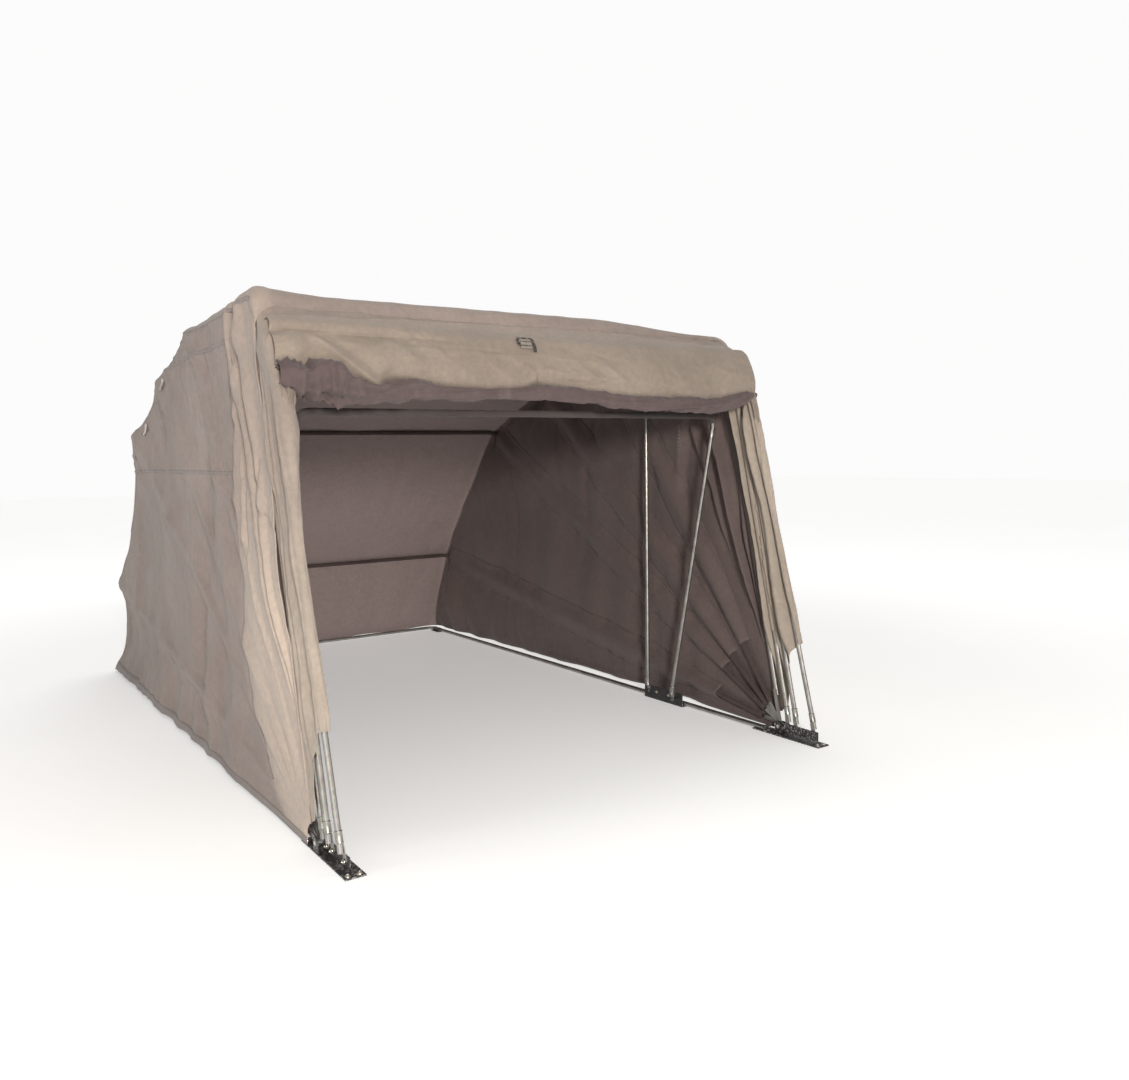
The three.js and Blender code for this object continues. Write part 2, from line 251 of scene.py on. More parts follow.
def bump_node(nt, height, strength, distance, normal=None):
    n = node(nt, "ShaderNodeBump", Strength=strength, Distance=distance)
    nt.links.new(height, n.inputs["Height"])
    if normal:
        nt.links.new(normal, n.inputs["Normal"])
    return n.outputs[0]


def tex_noise(nt, vector, scale, detail=3, rough=0.55, distortion=0.0):
    n = node(nt, "ShaderNodeTexNoise", Scale=scale, Detail=detail, Roughness=rough, Distortion=distortion)
    nt.links.new(vector, n.inputs["Vector"])
    return n.outputs["Fac"]


THREAD = 0.0011


def cloth_material(name, low, high, panel_and_painted_light=None, rough=0.82, crumple=0.5,
                   dust=(0.44, 0.39, 0.34), tone_name="tone"):
    """Plain-woven coated polyester: thread pattern, mottling, pale streaks of dust and rubbing."""
    mat, nt, bsdf = new_mat(name)
    rest = node(nt, "ShaderNodeAttribute", _attribute_name="rest").outputs["Vector"]
    tone = node(nt, "ShaderNodeAttribute", _attribute_name=tone_name).outputs["Fac"]
    cloud = tex_noise(nt, rest, 1.7, 5, 0.6, 0.4)
    speck = tex_noise(nt, rest, 38, 3, 0.65)
    colour = ramp(nt, cloud, [(0.32, low), (0.68, high)])
    # the second colour, mixed in by the tone attribute: the shell's paler front panel, partly painted light;
    # painted shade on the apron's roll and on the cover; painted light on the inside's rear panel
    if panel_and_painted_light:
        colour = mix(nt, tone, colour, panel_and_painted_light)
    fine = ramp(nt, speck, [(0.35, (0.90, 0.90, 0.91)), (0.65, (1.05, 1.04, 1.02))])
    colour = mix(nt, 1.0, colour, fine, "MULTIPLY")
    streak = tex_noise(nt, stretched(nt, rest, (5.5, 5.5, 0.7)), 1.6, 4, 0.6)
    worn = math_node(nt, "MULTIPLY", grey(nt, streak, 0.55, 0.78), 0.10)
    colour = mix(nt, worn, colour, dust)
    # threads 1.1 mm apart, drawn in the cloth's own rest position
    sep = node(nt, "ShaderNodeSeparateXYZ")
    nt.links.new(rest, sep.inputs[0])
    pitch = math.pi / THREAD
    weave = None
    for axis in "XYZ":
        s = math_node(nt, "SINE", math_node(nt, "MULTIPLY", sep.outputs[axis], pitch))
        s = math_node(nt, "MULTIPLY", s, s)
        weave = s if weave is None else math_node(nt, "ADD", weave, s)
    weave = math_node(nt, "MULTIPLY", weave, 0.33)
    colour = mix(nt, 1.0, colour, grey(nt, weave, 0.2, 0.8, 0.90, 1.06), "MULTIPLY")
    nt.links.new(colour, bsdf.inputs["Base Color"])
    nt.links.new(grey(nt, speck, 0.3, 0.7, rough - 0.07, rough + 0.07), bsdf.inputs["Roughness"])
    bsdf.inputs["Sheen Weight"].default_value = 0.12
    bsdf.inputs["Sheen Roughness"].default_value = 0.5
    bsdf.inputs["Specular IOR Level"].default_value = 0.35
    wrinkle = tex_noise(nt, rest, 9, 6, 0.62, 0.9)
    fine_wrinkle = tex_noise(nt, rest, 34, 4, 0.6, 0.5)
    normal = bump_node(nt, wrinkle, crumple, 0.012)
    normal = bump_node(nt, fine_wrinkle, crumple * 0.6, 0.003, normal)
    nt.links.new(bump_node(nt, weave, 0.35, 0.0004, normal), bsdf.inputs["Normal"])
    return mat


def metal_material(name, dark, light, rough, metallic=1.0, scale=60, wear=None):
    """Steel with spangle or powder-coat mottling, fine scratches and rubbed edges."""
    mat, nt, bsdf = new_mat(name)
    obj = node(nt, "ShaderNodeTexCoord").outputs["Object"]
    vor = node(nt, "ShaderNodeTexVoronoi", Scale=scale * 2.2)
    nt.links.new(obj, vor.inputs["Vector"])
    cloud = tex_noise(nt, obj, scale * 0.25, 5, 0.6)
    colour = ramp(nt, cloud, [(0.3, dark), (0.7, light)])
    colour = mix(nt, 0.10, colour, vor.outputs["Color"], "OVERLAY")
    grime = grey(nt, tex_noise(nt, obj, 6, 4, 0.6), 0.5, 0.8)
    colour = mix(nt, math_node(nt, "MULTIPLY", grime, 0.25), colour, tuple(0.45 * v for v in dark))
    if wear:
        geo = node(nt, "ShaderNodeNewGeometry")
        edge = grey(nt, geo.outputs["Pointiness"], 0.50, 0.56)
        chips = grey(nt, tex_noise(nt, obj, 90, 4, 0.7), 0.52, 0.60)
        colour = mix(nt, math_node(nt, "MULTIPLY", edge, chips), colour, wear)
    nt.links.new(colour, bsdf.inputs["Base Color"])
    bsdf.inputs["Metallic"].default_value = metallic
    scratches = tex_noise(nt, stretched(nt, obj, (60, 60, 420)), 1.0, 3, 0.7)
    nt.links.new(grey(nt, scratches, 0.3, 0.75, rough - 0.1, rough + 0.14), bsdf.inputs["Roughness"])
    nt.links.new(bump_node(nt, scratches, 0.35, 0.0006), bsdf.inputs["Normal"])
    return mat


def plain_material(name, colour, rough):
    mat, nt, bsdf = new_mat(name)
    obj = node(nt, "ShaderNodeTexCoord").outputs["Object"]
    n = tex_noise(nt, obj, 0.6, 3, 0.5)
    lo, hi = tuple(v * 0.985 for v in colour), tuple(min(1, v * 1.01) for v in colour)
    nt.links.new(ramp(nt, n, [(0.35, lo), (0.65, hi)]), bsdf.inputs["Base Color"])
    bsdf.inputs["Roughness"].default_value = rough
    bsdf.inputs["Specular IOR Level"].default_value = 0.2
    bsdf.inputs["Emission Color"].default_value = (1, 1, 0.995, 1)
    # keeps the floor pale away from the lamps
    away = node(nt, "ShaderNodeVectorMath", _operation="LENGTH")
    nt.links.new(obj, away.inputs[0])
    far = node(nt, "ShaderNodeMapRange", _interpolation_type="SMOOTHSTEP")
    for k, value in enumerate((2.5, 8.0, 0.30, 0.58), 1):
        far.inputs[k].default_value = value
    nt.links.new(away.outputs["Value"], far.inputs[0])
    nt.links.new(far.outputs[0], bsdf.inputs["Emission Strength"])
    return mat


def webbing_material(name, low, high):
    """Woven strap with ribs across it."""
    mat, nt, bsdf = new_mat(name)
    obj = node(nt, "ShaderNodeTexCoord").outputs["Object"]
    ribs = node(nt, "ShaderNodeTexWave", Scale=180.0, Distortion=0.6, Detail=2.0)
    ribs.bands_direction = "DIAGONAL"
    nt.links.new(obj, ribs.inputs["Vector"])
    cloud = tex_noise(nt, obj, 40, 4, 0.6)
    colour = ramp(nt, cloud, [(0.3, low), (0.7, high)])
    colour = mix(nt, 0.45, colour, ramp(nt, ribs.outputs["Fac"], [(0.2, low), (0.8, high)]))
    nt.links.new(colour, bsdf.inputs["Base Color"])
    bsdf.inputs["Roughness"].default_value = 0.72
    nt.links.new(bump_node(nt, ribs.outputs["Fac"], 0.6, 0.0006), bsdf.inputs["Normal"])
    return mat


# shell: its paler second colour is the front panel's own colour in part and painted light in part
SHELL = cloth_material("shell_cloth", (0.208, 0.165, 0.147), (0.266, 0.215, 0.190),
                       panel_and_painted_light=(0.440, 0.362, 0.304))
# front cloth: its second colour is painted shade, for the roll under the flap
FRONT = cloth_material("front_cloth", (0.214, 0.173, 0.141), (0.270, 0.222, 0.182),
                       panel_and_painted_light=(0.082, 0.056, 0.057), crumple=0.6)
# cover: its paler colour is painted light in part; its second colour is painted shade
COVER = cloth_material("cover_cloth", (0.300, 0.250, 0.208), (0.372, 0.314, 0.262),
                       panel_and_painted_light=(0.132, 0.099, 0.096), crumple=0.6)
# the inside face in painted shade: the same cloth as outside, darkened; its second colour is painted light on
# the rear panel
INSIDE_SHADE = cloth_material("inside_painted_shade_cloth", (0.048, 0.031, 0.029), (0.074, 0.051, 0.048),
                        rough=0.88, crumple=0.4, panel_and_painted_light=(0.290, 0.226, 0.218),
                        tone_name="inner", dust=(0.12, 0.09, 0.085))
DARK = cloth_material("shaded_sleeve_cloth", (0.040, 0.032, 0.031), (0.062, 0.050, 0.048),
                      rough=0.9, crumple=0.4, dust=(0.07, 0.06, 0.055))
EDGE = cloth_material("edging_cloth", (0.185, 0.155, 0.145), (0.235, 0.20, 0.185), rough=0.8, crumple=0.3)
TUBE = metal_material("galvanised_tube_steel", (0.26, 0.25, 0.232), (0.44, 0.425, 0.40), 0.43)
BLACK = metal_material("black_powder_coat", (0.010, 0.010, 0.011), (0.028, 0.027, 0.027), 0.52, 0.0,
                       scale=90, wear=(0.30, 0.29, 0.28))
ZINC = metal_material("zinc_plated_steel", (0.50, 0.47, 0.40), (0.72, 0.70, 0.63), 0.33, scale=110)
STRAP = webbing_material("strap_webbing", (0.018, 0.016, 0.016), (0.050, 0.045, 0.044))
PALE_STRAP = webbing_material("pale_strap_webbing", (0.225, 0.188, 0.155), (0.300, 0.255, 0.212))
TAB = webbing_material("tab_webbing", (0.46, 0.42, 0.36), (0.62, 0.57, 0.50))


# ---------------------------------------------------------------- the bows
PIVOT_Z = 0.042
ELBOW = 0.060
LEG_X = 1.285
STAND = (1.030, 0.660, 1.700, 1.165, 0.050)     # brace stand: pivot y, bar y, bar z, posts' x, pivot z
BOWS = {  # pivot y, crossbar y, crossbar z
    "front_bow": (0.036, 0.565, 2.005),
    "second_bow": (0.155, 0.608, 1.990),
    "third_bow": (0.210, 0.662, 2.030),
    "ridge_bow": (0.265, 0.740, 2.110),
    "roof_bow": (0.265, 1.800, 2.150),
    "shoulder_bow": (0.265, 2.510, 1.960),
    "rear_bow": (0.265, 3.215, 1.680),
    "tail_bow": (0.265, 4.050, 0.670),
}
# each bow's share of the ridge bow's swing
RATIO = {"tail_bow": 0.16666, "rear_bow": 0.45277, "shoulder_bow": 0.51666, "roof_bow": 0.62222,
         "ridge_bow": 1.0}
FRONT_BOWS = ("front_bow", "second_bow", "third_bow")
REAR_BOWS = ("roof_bow", "shoulder_bow", "rear_bow", "tail_bow")
MAIN_Y = 0.265
CLOTH_OFF = 0.0185         # cloth's outer face from a crossbar's centre
WALL_X = 1.3070            # cloth's outer face from the centre plane
ARC_X = LEG_X - ELBOW      # where the corner bend starts on the roof
ARC_LEN = 0.126            # cloth over one corner bend
FOOT_R = 0.075             # how near the pin the cloth starts
CLOTH = 0.0014             # thickness of the shell and the cover
SLEEVE = 0.0008            # thickness of sleeves and pockets
LEVEL_SEAMS = (1.45, 2.012)
POCKET_X = LEG_X - 0.0148  # a pocket's face over a leg


def polar(name):
    py, y, z = BOWS[name]
    return math.hypot(y - py, z - PIVOT_Z), math.atan2(z - PIVOT_Z, y - py)


# the band between the ridge and front crossbars: its direction and its outward normal
COVER_D = np.array(BOWS["front_bow"][1:]) - np.array(BOWS["ridge_bow"][1:])
COVER_D = COVER_D / np.linalg.norm(COVER_D)
COVER_N = np.array((COVER_D[1], -COVER_D[0]))


# the canopy's centre-line profile: straight between bows, round over each crossbar
def canopy_profile():
    order = ["tail_bow", "rear_bow", "shoulder_bow", "roof_bow", "ridge_bow"]
    bars = [np.array(BOWS[n][1:]) for n in order]
    start = np.array((4.281, PIVOT_Z))
    pts = [start] + bars
    dirs = [(b - a) / np.linalg.norm(b - a) for a, b in zip(pts[:-1], pts[1:])]
    normals = [np.array((d[1], -d[0])) for d in dirs]          # outward
    out, span = [], []
    for i, (a, b) in enumerate(zip(pts[:-1], pts[1:])):
        n = normals[i]
        length = np.linalg.norm(b - a)
        steps = np.linspace(0, 1, max(6, int(round(length / 0.030))) + 1)
        if i == 4:                         # finer beside the ridge bow, where the folds are
            steps = np.concatenate([np.linspace(0, 0.56, 31), np.linspace(0.56, 0.90, 44)[1:],
                                    np.linspace(0.90, 1, 8)[1:]])
        for u in steps:
            if i and u == 0:
                continue
            out.append(a + (b - a) * u + n * CLOTH_OFF)
            span.append((i, u))
        n2 = normals[i + 1] if i + 1 < len(normals) else COVER_N
        a0, a1 = math.atan2(n[1], n[0]), math.atan2(n2[1], n2[0])
        for f in (0.5, 1.0):
            ang = a0 + (a1 - a0) * f
            out.append(b + CLOTH_OFF * np.array((math.cos(ang), math.sin(ang))))
            span.append((i, 1.0) if f < 1 else (i + 1, 0.0))
    # a hem that laps over the front cover, with its edge tucked in
    for k, off in ((0.010, 0.0022), (0.020, 0.0024), (0.0225, 0.0012), (0.0228, -0.0022)):
        out.append(bars[-1] + COVER_N * (CLOTH_OFF + off) + COVER_D * k)
        span.append((len(normals), 0.0))
    return np.array(out), np.array(span)


PROFILE, SPAN = canopy_profile()
PROFILE_S = np.concatenate([[0], np.cumsum(np.linalg.norm(np.diff(PROFILE, axis=0), axis=1))])
PROFILE_PHI = np.arctan2(PROFILE[:, 1] - PIVOT_Z, PROFILE[:, 0] - MAIN_Y)
PROFILE_PHI = np.maximum.accumulate(PROFILE_PHI + np.arange(len(PROFILE_PHI)) * 1e-9)
PROFILE_R = np.hypot(PROFILE[:, 0] - MAIN_Y, PROFILE[:, 1] - PIVOT_Z)
TANGENT = np.gradient(PROFILE, axis=0)
PROFILE_N = np.stack([TANGENT[:, 1], -TANGENT[:, 0]], 1) / np.linalg.norm(TANGENT, axis=1)[:, None]
# each bow's weight by angle: its own share within HOLD_ANGLE of it, blended across the bays between
HOLD_ANGLE = 0.012
BOW_PHI = [0.0] + [polar(n)[1] + k * HOLD_ANGLE for n in RATIO for k in (-1, 1)]
BOW_W = [0.0] + [w for w in RATIO.values() for _ in (0, 1)]
#          hem-tail  tail-rear rear-shoulder shoulder-roof roof-ridge
SAG_EDGE = [0.030, 0.020, 0.012, 0.018, 0.006, 0.0]
SAG_MID = [0.060, 0.050, 0.028, 0.034, 0.034, 0.0]
WAIST = [0.066, 0.058, 0.040, 0.024, 0.014, 0.0]


def seam_y(z):
    """Where the front panel's seam runs down the wall."""
    return np.interp(z, [-0.1, 0.058, 0.212, 0.376, 0.566, 0.90, 1.46, 2.0, 2.3],
                     [0.50, 0.616, 0.826, 0.938, 1.020, 1.040, 1.075, 1.085, 1.09])


def wall_wrinkles(y, z, r, phi, top, side):
    """Outward displacement of a side wall, in metres. top is the distance down from the roof corner."""
    s = 11 if side < 0 else 47
    deg = np.degrees(phi)
    near = side < 0
    d = 0.019 * perlin(y / 0.85, z / 0.6, s) + 0.009 * perlin(y / 0.33, z / 0.5, s + 1)
    # folds that hang from the roof corner and from the seam
    drift = 0.10 * perlin(z / 0.7, y / 1.3, s + 2)
    hang = folds((y + drift) / 0.34, z / 1.9, s + 3, 0.7)
    if near:
        d += 0.026 * (hang - 0.35) * smooth(1.75, 0.9, z) * smooth(0.9, 1.3, y)
    else:
        d += 0.027 * (hang - 0.35) * smooth(0.7, 1.0, y)
    # folds drawn towards the pin, strongest in the front panel
    drift = 1.6 * perlin(r / 0.6, deg / 9, s + 4)
    pull = folds((deg + drift) / 5.2, r / 1.9, s + 5, 0.75)
    depth = 0.014 - 0.0105 * smooth(58, 66, deg) if near else 0.006
    d += depth * (pull - 0.3) * smooth(0.35, 1.1, r) * smooth(28, 52, deg)
    # the long folds beside the ridge bow
    line = 71.0 + 1.2 * perlin(r / 0.55, 0.3, s + 6)
    d += smooth(0.35, 0.9, r) * (0.026 * bump(deg, line + 2.0, 1.3) - 0.060 * bump(deg, line, 0.55)
                                 + 0.022 * bump(deg, line - 1.9, 1.3)) * (1 - 0.35 * smooth(0.35, 0.0, top))
    line3 = line + 3.2 + 0.5 * perlin(r / 0.3, 8.3, s + 9)
    share = 0.3 if near else 1.0
    d += share * smooth(1.35, 1.0, r) * smooth(0.3, 0.6, r) * (0.010 - 0.034 * bump(deg, line3, 0.7))
    line2 = 66.3 + 1.4 * perlin(r / 0.5, 3.3, s + 7)
    share = 0.35 if near else 1.0
    d += share * smooth(0.8, 1.3, r) * smooth(0.02, 0.25, top) * (
        0.014 * bump(deg, line2 - 1.9, 1.3) - 0.026 * bump(deg, line2, 0.75))
    if near:
        # broad hollows behind the upright seam, and creases between it and the ridge bow
        back = np.interp(z, [0.3, 0.81, 1.12, 1.42, 1.8], [2.05, 1.79, 1.62, 1.56, 1.50])
        swell = np.interp(z, [0.3, 0.84, 1.13, 1.42, 1.8], [1.70, 1.50, 1.42, 1.33, 1.28])
        d += (0.018 * bump(y, swell, 0.07) - 0.034 * bump(y, back, 0.11)) \
            * smooth(1.75, 1.35, z) * smooth(0.1, 0.4, z)
        line4 = np.interp(z, [1.0, 1.25, 1.47, 1.6, 1.8], [0.915, 0.929, 0.934, 0.945, 1.00])
        d += (0.010 * bump(y, line4 + 0.028, 0.018) - 0.022 * bump(y, line4, 0.012)) \
            * smooth(1.0, 1.2, z)
        d += -0.034 * bump(y, 0.687, 0.010) * bump(z, 1.44, 0.050)
        branch = 0.55 + (z - 1.231) * 1.6
        d += (0.008 * bump(y, branch - 0.03, 0.016) - 0.018 * bump(y, branch, 0.014)) \
            * bump(z, 1.285, 0.05)
        d += 0.0040 * folds(y / 0.075 + 0.5 * perlin(y / 0.2, z / 0.2, 31), z / 0.11, 32, 0.8) \
            * smooth(1.35, 1.55, z) * smooth(1.0, 1.2, y)
    # a crest from the ridge bow's corner down to the upright seam
    crest = np.interp(z, [1.0, 1.4, 1.75, 2.05], [1.08, 1.055, 0.985, 0.83])
    d += (0.016 * bump(y, crest, 0.032) - 0.014 * bump(y, crest + 0.062, 0.026)) * smooth(0.95, 1.35, z)
    # short fans of tension from each bow's corner
    for name in REAR_BOWS:
        R, p0 = polar(name)
        dy, dz = y - (MAIN_Y + R * math.cos(p0)), z - (PIVOT_Z + R * math.sin(p0))
        rho, th = np.hypot(dy, dz), np.arctan2(dz, dy)
        fan = folds(th * 3.4, rho / 1.2, s + 8 + len(name), 0.8)
        d += 0.013 * (fan - 0.3) * np.exp(-(rho / 0.55) ** 2) * smooth(0.0, 0.16, rho)
    # crumple
    d += 0.0030 * folds(y / 0.13 + 0.4 * perlin(y / 0.3, z / 0.3, s + 20), z / 0.17, s + 21, 0.9)
    d += 0.0016 * perlin(y / 0.06, z / 0.07, s + 22)
    # puckers along the two level seams
    for zs in (1.45, 2.01):                 # beside LEVEL_SEAMS
        d += 0.0045 * perlin(y / 0.055, zs * 7, s + 23) * bump(z, zs, 0.05) + 0.003 * bump(z, zs, 0.03)
    return d


def roof_wrinkles(s, x):
    d = 0.009 * perlin(s / 0.5, x / 0.8, 71) + 0.004 * perlin(s / 0.2, x / 0.35, 72)
    cross = folds(s / 1.1, (x + 0.07 * perlin(s / 0.4, x, 73)) / 0.24, 74, 0.85)
    d += 0.006 * (cross - 0.35)
    d += 0.003 * folds(s / 0.14, x / 0.17 + 0.5 * perlin(s / 0.3, x / 0.3, 75), 76, 0.9)
    d += 0.0014 * perlin(s / 0.06, x / 0.07, 77)
    return d


def corner_peak(c):
    """The ridge cloth stands a little proud of its bar, with a low peak at the left corner."""
    left, right = 0.016 * bump(c, -(ARC_X + 0.03), 0.16), 0.006 * bump(c, ARC_X, 0.15)
    return 0.048 * smooth(1.25, 0.35, c) + left + right


def corner_ear(ang, side):
    """Surplus cloth squares off the ridge's left corner, outwards and up."""
    return 0.021 * np.sin(2 * ang) * np.where(side < 0, 1.0, 0.15)


def peak_keep(rn, side):
    return np.where(side < 0, 0.75 + 0.25 * rn, 0.35 + 0.65 * rn)


RIDGE_S = float(PROFILE_S[-7])


def hoop_path(c, across, rise):
    """Side, corner angle, |X|, drop below the roof and distance down the wall at path length c.
    across and rise are the corner bend's width and height."""
    a = np.abs(c)
    ang = np.clip((a - ARC_X) / ARC_LEN, 0, 1) * math.pi / 2    # a quarter turn from roof to wall
    X = np.where(a <= ARC_X, a, ARC_X + across * np.sin(ang))
    top = np.clip(a - ARC_X - ARC_LEN, 0, None)
    drop = np.where(a <= ARC_X, 0.0, rise * (1 - np.cos(ang))) + top
    return np.where(c < 0, -1.0, 1.0), ang, X, drop, top


def columns(reach, walls, power, roofs):
    """Path positions across one row, the same number in every row."""
    wall = 1 - np.linspace(0, 1, walls) ** power
    arc = np.linspace(ARC_X, ARC_X + ARC_LEN, 9)[1:]
    left = -(ARC_X + ARC_LEN + wall[:-1] * reach)
    return np.concatenate([left, -arc[::-1], np.linspace(-ARC_X, ARC_X, roofs), arc, -left[::-1]])


def canopy_surface(s, c, extra=0.0):
    """Points of the rear canopy at profile length s and path length c (negative on the left side)."""
    s, c = np.broadcast_arrays(np.asarray(s, float), np.asarray(c, float))
    y = np.interp(s, PROFILE_S, PROFILE[:, 0])
    z = np.interp(s, PROFILE_S, PROFILE[:, 1])
    phi = np.interp(s, PROFILE_S, PROFILE_PHI)
    R = np.hypot(y - MAIN_Y, z - PIVOT_Z)
    seg = np.interp(s, PROFILE_S, SPAN[:, 0] + np.minimum(SPAN[:, 1], 0.9999))
    i = np.clip(seg.astype(int), 0, 5)
    u = np.clip(seg - i, 0, 1)
    arch = 4 * u * (1 - u)
    sag_e, sag_m, waist = (np.take(np.array(v), i) for v in (SAG_EDGE, SAG_MID, WAIST))
    n2 = np.stack([np.interp(s, PROFILE_S, PROFILE_N[:, k]) for k in (0, 1)], -1)
    n2 /= np.linalg.norm(n2, axis=-1, keepdims=True)
    side, ang, X, drop, top = hoop_path(c, WALL_X - ARC_X, ELBOW + CLOTH_OFF)
    r = R - drop
    Y, Z = MAIN_Y + r * np.cos(phi), PIVOT_Z + r * np.sin(phi)
    share = np.clip(r / np.maximum(R, 1e-6), 0, 1)
    lower = smooth(0.0, 0.10, Z)                                # no waist along the ground
    low_bay = np.where(i == 0, 1.0, 0.0)
    wall_d = -waist * arch * share ** 1.3 * (1 - 0.5 * low_bay * smooth(3.7, 3.0, Y))
    for k in (-1, 1):
        wall_d = wall_d + wall_wrinkles(Y, Z, r, phi, top, k) * (side == k)
    hold = np.ones_like(r)                                      # keeps cloth outside the bows' legs
    for name in RATIO:
        hold = np.minimum(hold, smooth(0.012, 0.05, np.abs(phi - polar(name)[1]) * np.maximum(r, 0.12)))
    wall_d = np.where(wall_d < 0, wall_d * (0.08 + 0.92 * hold), wall_d)
    wall_d = wall_d * smooth(0.06, 0.45, r) * lower
    wall_d = wall_d + 0.010 * (1 - smooth(0.0, 0.14, Z)) * smooth(0.3, 1.2, r)
    mid = np.cos(np.clip(X / WALL_X, 0, 1) * math.pi / 2) ** 2
    roof_d = -(sag_e + (sag_m - sag_e) * mid) * arch + roof_wrinkles(s, c)
    near_bar = smooth(0.0, 0.06, np.minimum(u, 1 - u) * 0.9)
    roof_d = np.where(roof_d < 0, roof_d * near_bar, roof_d * (0.35 + 0.65 * near_bar))
    wn, rn = np.sin(ang) ** 2, np.cos(ang) ** 2
    d = wall_d * wn
    e = roof_d * rn + extra * rn
    d = d + extra * wn
    slope = np.clip(1 - (RIDGE_S - s) / 1.02, 0, 1) ** 1.15
    left = smooth(-0.7, -1.15, c)
    reach = smooth(0.50, 0.0, RIDGE_S - s) * (1 - left) + slope * left
    peak = corner_peak(c) * reach * smooth(0.12, 0.0, top)
    ear = corner_ear(ang, side) * (smooth(0.30, 0.0, RIDGE_S - s) * (1 - left) + slope * left)
    e = e + peak * peak_keep(rn, side) + ear
    d = d + ear
    lap = smooth(RIDGE_S, RIDGE_S + 0.012, s) * (1 - smooth(PROFILE_S[-3], PROFILE_S[-1], s) * 1.6)
    d = d + 0.0030 * lap * wn
    # the bend keeps a little of both, so the edge line sags as the roof does
    e = e - sag_e * arch * wn * smooth(0.5, 0.0, top)
    X = (X + d) * side
    Y = Y + e * n2[..., 0]
    Z = Z + e * n2[..., 1]
    w = np.interp(phi, BOW_PHI, BOW_W)
    return np.stack([X, Y, Z], -1), w


def wall_to_path(y, z, side):
    """(s, c) of a point of the wall given by its y and z."""
    phi = np.arctan2(z - PIVOT_Z, y - MAIN_Y)
    s = np.interp(phi, PROFILE_PHI, PROFILE_S)
    R = np.interp(s, PROFILE_S, PROFILE_R)
    r = np.hypot(y - MAIN_Y, z - PIVOT_Z)
    return s, side * (ARC_X + ARC_LEN + (R - ELBOW - CLOTH_OFF) - r)


def follow_canopy(o):
    blend_by(o)


def build_canopy():
    cols = np.stack([columns(R - ELBOW - CLOTH_OFF - FOOT_R, 96, 0.92, 83) for R in PROFILE_R])
    S = np.repeat(PROFILE_S[:, None], cols.shape[1], 1)
    P, W = canopy_surface(S, cols)
    # the skirt below the pin's height: it hangs to the ground and kicks out a little
    foot = P[0].copy()
    ripple = perlin(foot[:, 1] / 0.32, np.sign(foot[:, 0]) * 3 + foot[:, 0] / 0.4, 81)
    foot[:, 2] = 0.013 + 0.012 * (1 + ripple) * smooth(0.5, 1.0, foot[:, 1])
    is_wall = np.abs(foot[:, 0]) > 1.28
    foot[:, 0] += np.where(is_wall, np.sign(foot[:, 0]) * 0.010 * smooth(0.5, 1.2, foot[:, 1]), 0)
    mid = P[0] * 0.5 + foot * 0.5
    mid[:, 0] = P[0][:, 0] * 0.6 + foot[:, 0] * 0.4
    P = np.concatenate([foot[None], mid[None], P])
    W = np.concatenate([W[:1] * 0, W[:1] * 0, W])
    across = np.abs(np.concatenate([cols[:1], cols[:1], cols]))
    # the front panel ahead of its seam is paler: partly its own colour, partly painted light
    behind = P[..., 1] - seam_y(P[..., 2])
    tone = 0.26 * smooth(0.010, -0.010, behind) + 0.74 * smooth(0.10, -0.16, behind)
    # painted highlight: the panel is paler lower down
    tone = tone * (0.34 + 0.66 * smooth(1.75, 0.75, P[..., 2]))
    tone = np.where(across > ARC_X, tone, 0.05)
    # painted shade on the inside face: a dark ceiling, browner walls, and painted light on a paler rear panel
    inner = np.where(across < ARC_X + 0.4 * ARC_LEN, smooth(1.95, 1.88, P[..., 2]), 0.25)
    o = grid_mesh("rear_canopy", P, tone=tone, mats=(SHELL, INSIDE_SHADE), inner=inner)
    follow_canopy(o)
    thicken(o, CLOTH, 1)
    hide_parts("canopy", "wall_left", "wall_right")
    return o, P, W


canopy, CANOPY_P, CANOPY_W = build_canopy()


# ---------------------------------------------------------------- the gathered front cover
FRONT_R, FPHI = polar("front_bow")
E_R = np.array((math.cos(FPHI), math.sin(FPHI)))
E_N = np.array((-math.sin(FPHI), math.cos(FPHI)))           # forwards and a little up
F_BAR = np.array(BOWS["front_bow"][1:])
LEG_P = (0.0, 0.24, 0.48, 1.0)       # where the ridge, third, second and front bows stand in it
LEG_W = (0.0, 0.3245, 0.6549, 1.0)
PLEAT = (0.052, 0.046, 0.074)
LEG_CLEAR = 0.0172                   # cloth's outer face from a leg's centre


def flap_line(c):
    """Where the lighter flap starts on the band between the ridge and front crossbars."""
    line = np.interp(c, [-1.26, -0.67, 0.0, 0.44, 0.66, 1.03, 1.25],
                     [0.66, 0.48, 0.40, 0.38, 0.47, 0.50, 0.62])
    return line + 0.02 * perlin(np.asarray(c, float) / 0.4, 4.4, 190)


def cover_low(p):
    """How far from the pin the curtain's lower edge is."""
    return np.interp(p, [0, 0.20, 0.34, 0.48, 0.62, 0.80, 1.0],
                     [0.080, 0.10, 0.20, 0.345, 0.375, 0.43, 0.475])


def cover_bar(p):
    """Pivot y, reach and angle of the cover at share p of the way from the ridge bow to the front bow."""
    ridge, front = BOWS["ridge_bow"], BOWS["front_bow"]
    py, by, bz = (a + (b - a) * p for a, b in zip(ridge, front))
    return py, np.hypot(by - py, bz - PIVOT_Z) + CLOTH_OFF * 0.95, np.arctan2(bz - PIVOT_Z, by - py)


